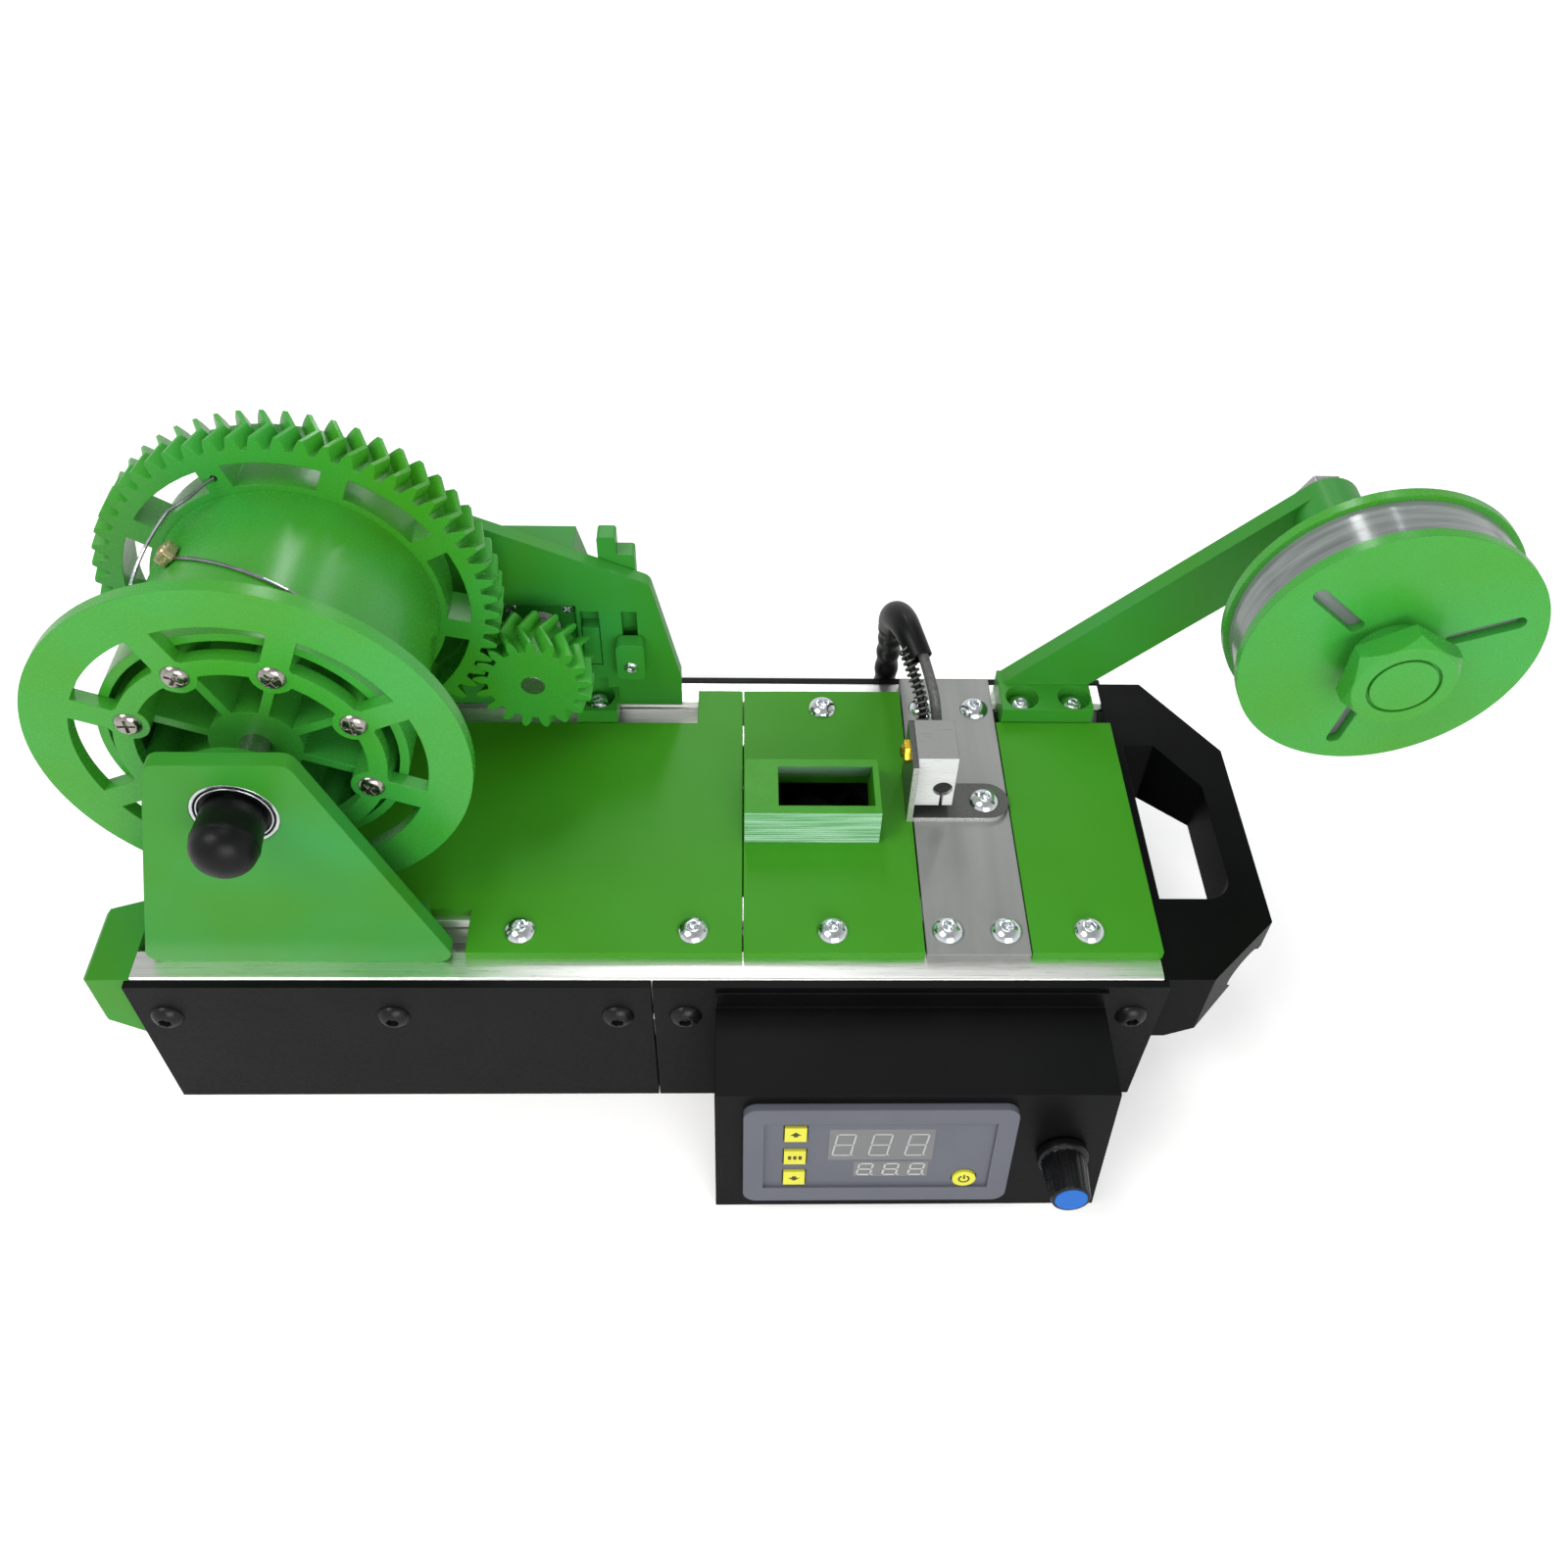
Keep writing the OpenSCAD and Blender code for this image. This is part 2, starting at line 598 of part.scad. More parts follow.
module hotend_plate() color([0.62, 0.62, 0.62]) difference() {
    translate([plate_x0, front + bracket_inset + part_gap, top]) cube([plate_w, frame_w - bracket_inset - part_gap - skirt_over, deck_t]);
    for (p = concat(plate_screw_places, [[foot_screw_x, foot_mid_y]]))
        translate([p[0], p[1], top - cut]) cylinder(h = deck_t + 2 * cut, r = screw_hole_r);
}

module hotend_bracket() color([0.3, 0.3, 0.3]) difference() {
    union() {
        translate([angle_x0, foot_front, deck_top]) cube([foot_len - foot_w / 2, foot_w, bracket_sheet]);
        translate([angle_x0 + foot_len - foot_w / 2, foot_mid_y, deck_top]) cylinder(h = bracket_sheet, r = foot_w / 2);
        translate([angle_x0, foot_front, deck_top]) cube([bracket_sheet, upright_back, upright_h]);
    }
    translate([foot_screw_x, foot_mid_y, deck_top - cut]) cylinder(h = bracket_sheet + 2 * cut, r = screw_hole_r);
    rod_x(angle_x0 - cut, nozzle_y, nozzle_z, nozzle_r, bracket_sheet + 2 * cut);
}

module heater_block() color([0.8, 0.8, 0.82]) difference() {
    translate([block_x0, block_y0, block_z0]) cube([block_w, block_d, block_h]);
    rod_x(block_x0 - cut, nozzle_y, nozzle_z, nozzle_r, block_w + 2 * cut);
    rod_y(cartridge_x, block_y0 - cut, cartridge_z, cartridge_r, block_d + 2 * cut);
    translate([cartridge_x - block_slit / 2, block_y0 - cut, block_z0 - cut])
        cube([block_slit, block_d + 2 * cut, cartridge_z - block_z0 + cut]);
}

module nozzle() color([0.85, 0.65, 0.2]) difference() {
    union() {
        rod_x(angle_x0, nozzle_y, nozzle_z, nozzle_r, bracket_sheet + block_w);
        translate([angle_x0 - nozzle_hex_len, nozzle_y, nozzle_z]) rotate([0, 90, 0])
            cylinder(h = nozzle_hex_len, r = nozzle_hex / sqrt(3), $fn = 6);
        translate([angle_x0 - nozzle_hex_len - nozzle_tip, nozzle_y, nozzle_z]) rotate([0, 90, 0])
            cylinder(h = nozzle_tip, r1 = nozzle_bore_r * 1.7, r2 = nozzle_r);
    }
    rod_x(angle_x0 - nozzle_hex_len - nozzle_tip - cut, nozzle_y, nozzle_z, nozzle_bore_r, nozzle_hex_len + nozzle_tip + 2 * cut);
    rod_x(angle_x0, nozzle_y, nozzle_z, nozzle_r * 0.7, bracket_sheet + block_w + cut);
}

cartridge_in = 1.2;      // the cartridge sits back from the front of the block
cartridge_out = 1;       // and stands out at its back

module heater_cartridge() color([0.45, 0.46, 0.48])
    rod_y(cartridge_x, block_y0 + cartridge_in, cartridge_z, cartridge_r, block_d - cartridge_in + cartridge_out);

// The lead is held by the block, goes over the rear rail in its boot and enters through the rear skirt.
// Points are [from the left of the block, share of the way to the rear face, height over the deck].
lead_start = [cartridge_x, block_y0 + block_d + cartridge_out, cartridge_z];
lead_rise = [[8.7, 0.097, 15.5], [9, 0.142, 21], [7.4, 0.224, 27.5]];
boot_start_at = [1.4, 0.39, 34.8];
boot_way = [-0.429, 0.728, 0.534];
boot_over = [[-1.6, 0.571, 38.9], [-2.8, 0.718, 38.4], [-3.3, 0.865, 35], [-3.4, 0.982, 28], [-3.4, 1.077, 18],
    [-3.4, 1.14, 5], [-3.3, 1.176, -9], [-3.3, 1.203, -21], [-3.3, 1.2144, -29], [-3.3, 1.2144, -35.5],
    [-3.3, 1.1977, -38.25], [-3.3, 1.1524, -40.26]];
boot_end_at = [-3.3, 0.977, -41];
boot_in = 3.6;           // straight end of the boot in the rear skirt
boot_bend = 5;
lead_straight = 1;
boot_straight = 1.5;
boot_r = 4;

function lead_point(p) = [block_x0 + p[0], lead_start[1] + p[1] * (back - lead_start[1]), deck_top + p[2]];
boot_start = lead_point(boot_start_at);
lead_end = lead_point(boot_end_at);
lead_path = concat([lead_start, lead_start + [0, lead_straight, 0], lead_start + [0, 2 * lead_straight, 0]],
    [for (p = lead_rise) lead_point(p)],
    [for (k = [-2:0]) boot_start + k * boot_straight * unit(boot_way)]);
boot_path = concat([for (k = [0:2]) boot_start + k * boot_straight * unit(boot_way)],
    [for (p = boot_over) lead_point(p)],
    [lead_end + [0, boot_bend, 0], lead_end + [0, boot_in, 0], lead_end]);

module heater_lead() color([0.5, 0.5, 0.5]) tube_along(smooth(lead_path, cord_steps / 2), lead_r);

module lead_boot() color([0.04, 0.04, 0.04]) tube_along(smooth(boot_path, cord_steps / 2), boot_r, 12);

// Drum
drum_x = left + drum_from_left;
drum_z = top + drum_above;
flange_behind = 15.3;    // from the front bracket plate to the flange
flange_y = front + bracket_inset + bracket_t + flange_behind;
gear_behind = 11.6;      // from the drum gear to the rear bracket plate
gear_y = back - bracket_inset - bracket_t - gear_behind - gear_w;
barrel_y0 = flange_y + flange_t;
barrel_len = gear_y + gear_w - cut - barrel_y0;
hub_r = 12;
rib_t = 2.6;
boss_r = 5.4;            // screw bosses of the drum
pilot_r = 1.4;           // holes of the flange screws in the barrel
pilot_len = 16;
rib_turn = 22.5;         // the ribs are turned off the level
boss_ring_w = 5;         // ring that joins the bosses of the flange
spoke_w = 7;             // spokes of the flange

module at_drum() translate([drum_x, 0, drum_z]) children();
module drum_slice(y0, t) at_drum() from_front(y0, t) children();

module drum_barrel() color([0.27, 0.62, 0.12]) difference() {
    drum_slice(barrel_y0, barrel_len) difference() {
        union() {
            difference() {
                circle(barrel_r);
                circle(barrel_r - barrel_wall);
            }
            circle(hub_r);
            around(rib_count, rib_turn) translate([hub_r - rib_t, -rib_t / 2]) square([barrel_r - hub_r, rib_t]);
            around(rib_count, rib_turn) translate([rib_circle_r, 0]) circle(boss_r);
        }
        circle(axle_r);
    }
    drum_slice(barrel_y0 - cut, pilot_len + cut) around(rib_count, rib_turn) translate([rib_circle_r, 0]) circle(pilot_r);
}

module drum_flange() color([0.3, 0.63, 0.22]) drum_slice(flange_y, flange_t) difference() {
    union() {
        difference() {
            circle(flange_r);
            circle(flange_rim_r);
        }
        difference() {
            circle(rib_circle_r + boss_ring_w * 0.7);
            circle(rib_circle_r - boss_ring_w * 0.3);
        }
        around(rib_count, rib_turn) {
            translate([rib_circle_r + boss_ring_w / 2, -spoke_w / 2]) square([flange_rim_r - rib_circle_r, spoke_w]);
            translate([rib_circle_r, 0]) circle(boss_r);
        }
    }
    around(rib_count, rib_turn) translate([rib_circle_r, 0]) circle(pilot_r + run_fit * 4);
}

flange_head_r = 3.6;
flange_head_h = 1.8;

module flange_screws() color([0.75, 0.75, 0.76])
    at_drum() for (i = [0:rib_count - 1]) {
        a = rib_turn + i * 360 / rib_count;
        translate([rib_circle_r * cos(a), 0, rib_circle_r * sin(a)]) {
            translate([0, flange_y, 0]) rotate([90, 0, 0]) cylinder(h = flange_head_h, r1 = flange_head_r, r2 = flange_head_r / 2);
            rod_y(0, flange_y, 0, pilot_r, pilot_len - cut);
        }
    }

axle_front = front - skirt_over;
axle_back = back + skirt_over;
hub_gap = 0.5;           // between the drum hub and the bearings
axle_nut_h = 5;
axle_nut_af = 13;

module drum_axle() color([0.7, 0.7, 0.72]) rod_y(drum_x, axle_front, drum_z, axle_r, axle_back - axle_front);

cap_r = 8.4;             // rubber cap on an axle end
cap_tip_r = 8.6;
cap_body = 9;
cap_dome = 8.2;
cap_at = 0.6;            // gap between a cap and its bearing

module axle_cap() rotate([90, 0, 0]) difference() {
    rotate_extrude() polygon(concat([[0, 0], [cap_r, 0]],
        [for (i = [0:5]) [cap_tip_r * cos(i * 15), cap_body + cap_dome * sin(i * 15)]], [[0, cap_body + cap_dome]]));
    translate([0, 0, -cut]) cylinder(h = front + bracket_inset - cap_at - axle_front + cut, r = axle_r);
}

module axle_caps() color([0.03, 0.03, 0.03]) {
    translate([drum_x, front + bracket_inset - cap_at, drum_z]) axle_cap();
    translate([drum_x, back - bracket_inset + cap_at, drum_z]) mirror([0, 1, 0]) axle_cap();
}

// Herringbone gears: involute teeth, two halves twisted opposite ways
pressure = 20;
backlash = 0.11;         // play of each tooth flank
flank_steps = 4;
helix = 28;              // slope of the teeth

function pitch_r(n) = n * gear_module / 2;
function base_r(n) = pitch_r(n) * cos(pressure);
function roll(r, rb) = sqrt(max(0, pow(r / rb, 2) - 1));
function inv_angle(r, rb) = roll(r, rb) * 180 / PI - atan(roll(r, rb));
function tooth_half(n, r) = 90 / n - backlash / pitch_r(n) * 180 / PI + inv_angle(pitch_r(n), base_r(n)) - inv_angle(r, base_r(n));
function flank_r(n, i) =
    let (r0 = max(base_r(n), pitch_r(n) - 1.2 * gear_module), r1 = pitch_r(n) + gear_module)
    r0 + (r1 - r0) * i / flank_steps;
function polar(r, a) = [r * cos(a), r * sin(a)];
function tooth_points(n, a) = concat(
    [polar(pitch_r(n) - 1.25 * gear_module, a - tooth_half(n, flank_r(n, 0)) - 10 / n)],
    [for (i = [0:flank_steps]) polar(flank_r(n, i), a - tooth_half(n, flank_r(n, i)))],
    [for (i = [flank_steps:-1:0]) polar(flank_r(n, i), a + tooth_half(n, flank_r(n, i)))],
    [polar(pitch_r(n) - 1.25 * gear_module, a + tooth_half(n, flank_r(n, 0)) + 10 / n)]);

module toothed_disc(n, turn) polygon([for (i = [0:n - 1]) each tooth_points(n, turn + i * 360 / n)]);

function half_twist(n, w) = w / 2 * tan(helix) / pitch_r(n) * 180 / PI;

// hand is 1 or -1, and steps is the number of slices in each half
module herringbone(n, w, turn, hand, steps, bore) {
    t = hand * half_twist(n, w);
    for (s = [1, -1]) scale([1, 1, s]) linear_extrude(w / 2, twist = t, slices = steps) difference() {
        toothed_disc(n, turn);
        circle(bore);
    }
}

mesh_angle = -27;        // direction from the drum axis to the pinion
mesh_a = (gear_teeth + pinion_teeth) * gear_module / 2;
pinion_x = drum_x + mesh_a * cos(mesh_angle);
pinion_z = drum_z + mesh_a * sin(mesh_angle);
gear_rim_r = 48;         // inner radius of the gear rim
gear_hub_r = barrel_r + 2;
gear_spoke_w = 7;
spoke_turn = -13;
gear_spoke_t = gear_w;

module drum_gear() color([0.27, 0.62, 0.16]) {
    translate([drum_x, gear_y + gear_w / 2, drum_z]) rotate([90, 0, 0])
        herringbone(gear_teeth, gear_w, mesh_angle, -1, 1, gear_rim_r);
    drum_slice(gear_y + gear_w - gear_spoke_t, gear_spoke_t) difference() {
        union() {
            difference() {
                circle(gear_hub_r);
                circle(barrel_r);
            }
            around(gear_spokes, spoke_turn) translate([barrel_r + barrel_wall / 2, -gear_spoke_w / 2])
                square([gear_rim_r - barrel_r, gear_spoke_w]);
        }
        circle(barrel_r);
        rotate(spoke_turn + 3 * 360 / gear_spokes) translate([wire_hole_r, 0]) circle(wire_r * 2);
    }
}

module pinion() color([0.24, 0.6, 0.14]) {
    y = gear_y + gear_w / 2;
    translate([pinion_x, y, pinion_z]) rotate([90, 0, 0])
        herringbone(pinion_teeth, pinion_w, mesh_angle + 180 + 180 / pinion_teeth, 1, 3, shaft_r);
    difference() {
        rod_y(pinion_x, y + pinion_w / 2, pinion_z, shaft_r * 2, shaft_r);
        rod_y(pinion_x, y + pinion_w / 2 - cut, pinion_z, shaft_r, shaft_r + 2 * cut);
    }
}

// Wires on the drum
wire_r = 0.5;
wire_hole_r = 44.7;      // hole in a gear spoke
wrap_end = 7.2;          // the wrap ends this far behind the flange
wrap_rise = 28.6;
wrap_from = 126;         // polar angle where it leaves the clip
wrap_to = 6;
wrap_power = 1.75;
wrap_n = 26;

function on_drum(r, a, y) = [drum_x + r * cos(a), y, drum_z + r * sin(a)];
wrap_path = [for (i = [0:wrap_n]) let (a = wrap_from + (wrap_to - wrap_from) * i / wrap_n)
    on_drum(barrel_r + wire_r + run_fit, a, barrel_y0 + wrap_end + wrap_rise * pow(a / wrap_from, wrap_power))];
// Points of the loose wire are [polar angle, radius, share of the way from the flange to the gear]
loose_points = [[107, 44.7, 1.005], [110.5, 45, 0.955], [114.1, 45, 0.898], [119, 45.1, 0.868],
    [123.1, 45.1, 0.844], [127.5, 45, 0.682], [127.9, 45, 0.503], [126.3, 44.8, 0.341], [125, 45, 0.18],
    [124.5, 45.5, 0.002]];
loose_path = smooth([for (p = loose_points) on_drum(p[1], p[0], barrel_y0 + p[2] * (gear_y - barrel_y0))], 4);

module leader_wire() color([0.3, 0.3, 0.32]) {
    tube_along(wrap_path, wire_r, 6);
    tube_along(loose_path, wire_r, 6);
}

clip_len = 9;
clip_w = 6;
clip_h = 4;
clip_turn = 2;           // angle between the clip and the end of the wrap

module wire_clip() color([0.8, 0.7, 0.45]) translate(on_drum(barrel_r, wrap_from + clip_turn, barrel_y0 + wrap_end + wrap_rise))
    rotate([0, 90 - wrap_from - clip_turn, 0]) difference() {
        translate([-clip_w, -clip_len / 2, run_fit]) cube([clip_w, clip_len, clip_h]);
        translate([-clip_w / 2, -clip_len / 4, -cut]) cylinder(h = clip_h + 2 * cut, r = wire_r * 2);
    }

// Brackets
bracket_top_half = 18.4; // half of the top edge of the front bracket
bracket_base_left = 40.4;
bracket_base_right = 44.4;
bracket_round = 4;
boss_out = 3.2;          // the bearing boss stands this far behind the bearing seat
bracket_boss_r = 16.4;
foot_block_w = 13;
foot_block_h = 8;
foot_block_d = 11.2;
foot_bore_r = 5.4;       // counterbore of a foot screw
foot_seat = 4;           // height of its seat
foot_front_x = [-28, 30];       // feet of the front bracket, from the drum axis
foot_back_x = [-28, 79.2];      // feet of the rear bracket
bracket_foot_y = front + bracket_inset;

module corner(x, z) translate([x, z]) circle(bracket_round, $fn = 32);

module front_plate() hull() {
    corner(-bracket_base_left + bracket_round, bracket_round);
    corner(bracket_base_right - bracket_round, bracket_round);
    corner(-bracket_top_half + bracket_round, bracket_h - bracket_round);
    corner(bracket_top_half - bracket_round, bracket_h - bracket_round);
}

back_top_right = 30;     // top edge of the rear bracket, from the drum axis
back_shoulder_x = 98.2;
back_shoulder_z = 53;
back_base_x = 106.2;
back_base_z = 13;

module rear_plate() hull() {
    corner(-bracket_base_left + bracket_round, bracket_round);
    corner(-bracket_top_half + bracket_round, bracket_h - bracket_round);
    corner(back_top_right - bracket_round, bracket_h - bracket_round);
    corner(back_shoulder_x - bracket_round, back_shoulder_z - bracket_round);
    translate([back_base_x - bracket_round, 0]) square([bracket_round, back_base_z]);
}

// The foot of a bracket, behind its plate, with a sunk screw over the rail slot
module foot_block(x) translate([x - foot_block_w / 2, 0, 0]) cube([foot_block_w, foot_block_d + bracket_t, foot_block_h]);
module foot_bores(x) translate([x, slot_y - bracket_inset, 0]) {
    translate([0, 0, -cut]) cylinder(h = foot_block_h + 2 * cut, r = screw_hole_r);
    translate([0, 0, foot_seat]) cylinder(h = foot_block_h, r = foot_bore_r);
}

module front_bracket() color([0.33, 0.63, 0.32]) translate([drum_x, bracket_foot_y, top]) difference() {
    union() {
        from_front(0, bracket_t) front_plate();
        rod_y(0, 0, drum_above, bracket_boss_r, bracket_t + boss_out);
        for (x = foot_front_x) foot_block(x);
    }
    rod_y(0, -cut, drum_above, bearing_r, bearing_w + cut);
    rod_y(0, -cut, drum_above, bearing_r * 0.7, bracket_t + boss_out + 2 * cut);
    for (x = foot_front_x) foot_bores(x);
}

pocket_w = 24.4;         // recess round the motor screws, from the pinion axis
pocket_right = 11.6;
pocket_up = 10.5;
pocket_down = 15;
pocket_t = 2.2;
slot_a_x = 75.4;         // window of the clamp tongue, from the drum axis
slot_a_w = 5.9;
slot_a_z = 17.8;
slot_b_x = 88.3;         // slot of the clamp screw
slot_b_w = 4.8;
slot_b_z = 19;
slots_top = 40.6;
motor_hole_r = 6.2;      // hole for the boss of the motor
motor_screw_x = 9;       // motor screws, from the shaft
motor_screw_z = 8;
motor_screw_r = 1.5;

module motor_screw_spots() for (x = [-motor_screw_x, motor_screw_x], z = [-motor_screw_z, motor_screw_z])
    translate([pinion_x + x, 0, pinion_z + z]) children();

module rear_bracket() color([0.2, 0.58, 0.22]) difference() {
    translate([drum_x, -bracket_foot_y, top]) mirror([0, 1, 0]) difference() {
        union() {
            from_front(0, bracket_t) rear_plate();
            rod_y(0, 0, drum_above, bracket_boss_r, bracket_t + boss_out);
            for (x = foot_back_x) foot_block(x);
        }
        rod_y(0, -cut, drum_above, bearing_r, bearing_w + cut);
        rod_y(0, -cut, drum_above, bearing_r * 0.7, bracket_t + boss_out + 2 * cut);
        for (x = foot_back_x) foot_bores(x);
        translate([slot_a_x, -cut, slot_a_z]) cube([slot_a_w, bracket_t + 2 * cut, slots_top - slot_a_z]);
        translate([slot_b_x, -cut, slot_b_z]) cube([slot_b_w, bracket_t + 2 * cut, slots_top - slot_b_z]);
    }
    translate([pinion_x + pocket_right - pocket_w, plate_back - bracket_t - cut, pinion_z - pocket_down])
        cube([pocket_w, pocket_t + cut, pocket_down + pocket_up]);
    rod_y(pinion_x, plate_back - bracket_t - cut, pinion_z, motor_hole_r, bracket_t + 2 * cut);
    motor_screw_spots() rod_y(0, plate_back - bracket_t - cut, 0, motor_screw_r, bracket_t + 2 * cut);
}

plate_back = back - bracket_inset;       // rear face of the rear bracket
plate_face = plate_back - bracket_t;     // its front face

module bracket_screws() color([0.8, 0.81, 0.83]) {
    for (x = foot_front_x) translate([drum_x + x, slot_front, top + foot_seat]) dome_screw(foot_seat + slot_depth * 0.7);
    for (x = foot_back_x) translate([drum_x + x, slot_back, top + foot_seat]) dome_screw(foot_seat + slot_depth * 0.7);
    for (x = arm_screws_x) translate([x, slot_back, top + foot_seat]) dome_screw(foot_seat + slot_depth * 0.7);
    motor_screw_spots() {
        rod_y(0, plate_face + pocket_t - motor_screw_r, 0, motor_screw_r * 1.55, motor_screw_r);
        rod_y(0, plate_face + pocket_t, 0, motor_screw_r, bracket_t - pocket_t);
    }
}

module bearing() difference() {
    cylinder(h = bearing_w, r = bearing_r);
    translate([0, 0, -cut]) cylinder(h = bearing_w + 2 * cut, r = axle_r + run_fit);
    for (z = [-cut, bearing_w - cut / 2]) translate([0, 0, z]) difference() {
        cylinder(h = cut * 1.5, r = bearing_r - cut);
        cylinder(h = cut * 1.5, r = axle_r + cut * 1.5);
    }
}

module drum_bearings() color([0.75, 0.75, 0.77]) for (y = [bracket_foot_y, -bracket_foot_y - bearing_w])
    translate([drum_x, y, drum_z]) rotate([-90, 0, 0]) bearing();

// Motor
gearbox_right = 10.2;    // from the shaft to the right end of the gearbox
gearbox_round = 5;
gearbox_x0 = pinion_x + gearbox_right - gearbox_len;
motor_len = 26;

module gear_motor() color([0.6, 0.6, 0.62]) {
    difference() {
        union() {
            from_front(plate_back, gearbox_d) translate([gearbox_x0, pinion_z - gearbox_h / 2])
                round_rect(gearbox_len, gearbox_h, gearbox_round);
            rod_y(pinion_x, plate_back - pocket_t, pinion_z, motor_hole_r - part_gap / 2, pocket_t);
        }
        rod_y(pinion_x, plate_back - pocket_t - cut, pinion_z, shaft_r + run_fit, gearbox_d);
    }
    rod_x(gearbox_x0 - motor_len, plate_back + gearbox_d / 2, pinion_z, motor_r, motor_len + cut);
}

shaft_flat = 0.5;        // flat on the end of the shaft

module motor_shaft() color([0.55, 0.55, 0.57])
    rod_y(pinion_x, gear_y + (gear_w - pinion_w) / 2, pinion_z, shaft_r,
        plate_back + gearbox_d - pocket_t - cut - gear_y - (gear_w - pinion_w) / 2);

cover_gap = 0.6;         // air round the gearbox
cover_x0 = gearbox_x0 - motor_len - cover_gap - cover_wall;
cover_top = pinion_z + gearbox_h / 2 + cover_gap + cover_wall;
cover_foot = pinion_z - gearbox_h / 2 - cover_gap - cover_wall;
cover_lean = 9.6;        // slope of the right wall of the cover
cover_top_x = pinion_x + gearbox_right;
cover_d = gearbox_d + cover_gap + cover_wall;

module cover_shape() polygon([[cover_x0, cover_foot], [cover_top_x + cover_lean, cover_foot],
    [cover_top_x, cover_top], [cover_x0, cover_top]]);

module cover_inside() polygon([[cover_x0 + cover_wall, cover_foot + cover_wall],
    [cover_top_x + cover_lean - cover_wall * 1.15, cover_foot + cover_wall],
    [cover_top_x + cover_wall * (cover_lean / gearbox_h - 0.85), cover_top - cover_wall], [cover_x0 + cover_wall, cover_top - cover_wall]]);

module motor_cover() color([0.26, 0.58, 0.13]) difference() {
    from_front(plate_back, cover_d) cover_shape();
    from_front(plate_back - cut, cover_d - cover_wall + cut) cover_inside();
    // Room for the clamp that slides beside it
    translate([jaw_x0 - 2 * clamp_gap, plate_back - cut, cover_foot - cut])
        cube([cover_lean, jaw_t + 3 * clamp_gap + cut, jaw_z + jaw_h + clamp_travel - cover_foot]);
}

// Clamp that slides in the slots of the rear bracket
clamp_w = 9;
clamp_h = 15;
clamp_t = 5;
clamp_x = drum_x + slot_b_x + slot_b_w / 2;
clamp_rise = 16.2;       // foot of the block above the rails
clamp_z = top + clamp_rise;
clamp_screw_up = 5.5;
clamp_screw_z = clamp_z + clamp_screw_up;
clamp_gap = 0.3;         // between the clamp and the bracket
jaw_t = 6;
jaw_rise = 15;
jaw_z = top + jaw_rise;
jaw_h = 30;
jaw_x0 = drum_x + slot_a_x;
tongue_h = 15.6;
lug_a = [5.7, 66];       // width and top above the rails of the two lugs
lug_b = [5.4, 59.4];
lug_from_axis = 82.1;
lug_x0 = drum_x + lug_from_axis;
clamp_round = 2;
clamp_travel = 6.5;      // how far it slides up

module clamp_block() color([0.25, 0.6, 0.22]) difference() {
    from_front(plate_face - clamp_gap - clamp_t, clamp_t) translate([clamp_x - clamp_w / 2, clamp_z])
        round_rect(clamp_w, clamp_h, clamp_round);
    rod_y(clamp_x, plate_face - clamp_gap - clamp_t - cut, clamp_screw_z, clamp_round, clamp_t + 2 * cut);
}

module clamp_jaw() color([0.24, 0.56, 0.12]) {
    y = plate_back + clamp_gap;
    from_front(y, jaw_t) {
        translate([jaw_x0, jaw_z]) square([clamp_x + clamp_w / 2 - jaw_x0, jaw_h]);
        translate([lug_x0, jaw_z + jaw_h - clamp_round]) round_rect(lug_a[0], top + lug_a[1] - jaw_z - jaw_h + clamp_round, clamp_round / 2);
        translate([lug_x0 + lug_a[0] - clamp_round, jaw_z + jaw_h - clamp_round])
            round_rect(lug_b[0] + clamp_round, top + lug_b[1] - jaw_z - jaw_h + clamp_round, clamp_round / 2);
    }
    // Tongue in the window, and the stud that holds the front block
    translate([jaw_x0 + clamp_gap, plate_face + clamp_gap, top + slot_a_z + clamp_gap])
        cube([slot_a_w - 2 * clamp_gap, bracket_t, tongue_h]);
    rod_y(clamp_x, plate_face - clamp_t, clamp_screw_z, clamp_round, bracket_t + clamp_gap + clamp_t);
}

// Arm and reel
reel_x = right + reel_from_right;
reel_z = top + reel_above;
arm_setback = 2.5;       // from the rear face of the frame to the arm
arm_back = back - arm_setback;
arm_front = arm_back - arm_t;
arm_lean = 43.5;         // slope of the arm
arm_foot_in = 35.8;      // from the right rail end to the left of its foot
arm_foot_x0 = right - arm_foot_in;
arm_foot_w = 30;
arm_foot_h = 8.6;
arm_screw_in = [7.1, 24.3];      // arm screws, from the left of the foot
arm_screws_x = [for (x = arm_screw_in) arm_foot_x0 + x];
reel_boss_r = arm_h / 2;
reel_stand = 39.9;       // from the reel to the arm
reel_back = arm_front - reel_stand;
reel_front = reel_back - 2 * reel_disc_t - strip_w;   // front face of the reel
reel_gap = 0.5;          // between the reel and the boss of the arm
reel_hub_r = 9.4;
reel_bolt_r = 4;
reel_nut_t = 7;
reel_nut_stand = 5.2;    // collar that keeps the nut off the disc
reel_nut_collar_r = 11;
reel_nut_face_r = 13.5;  // front end of the chamfer of the nut
reel_nut_cone = 6;       // growth of that chamfer over the nut
reel_nut_sink = 1.2;     // step at the front of the thread
reel_nut_rim = 0.6;
reel_nut_front = reel_front - reel_nut_stand - reel_nut_t;
reel_slots = 3;
reel_slot_turn = 21;
reel_slot_w = 4.1;
reel_slot_in = 16;       // inner end of a slot
reel_slot_out = 32.5;

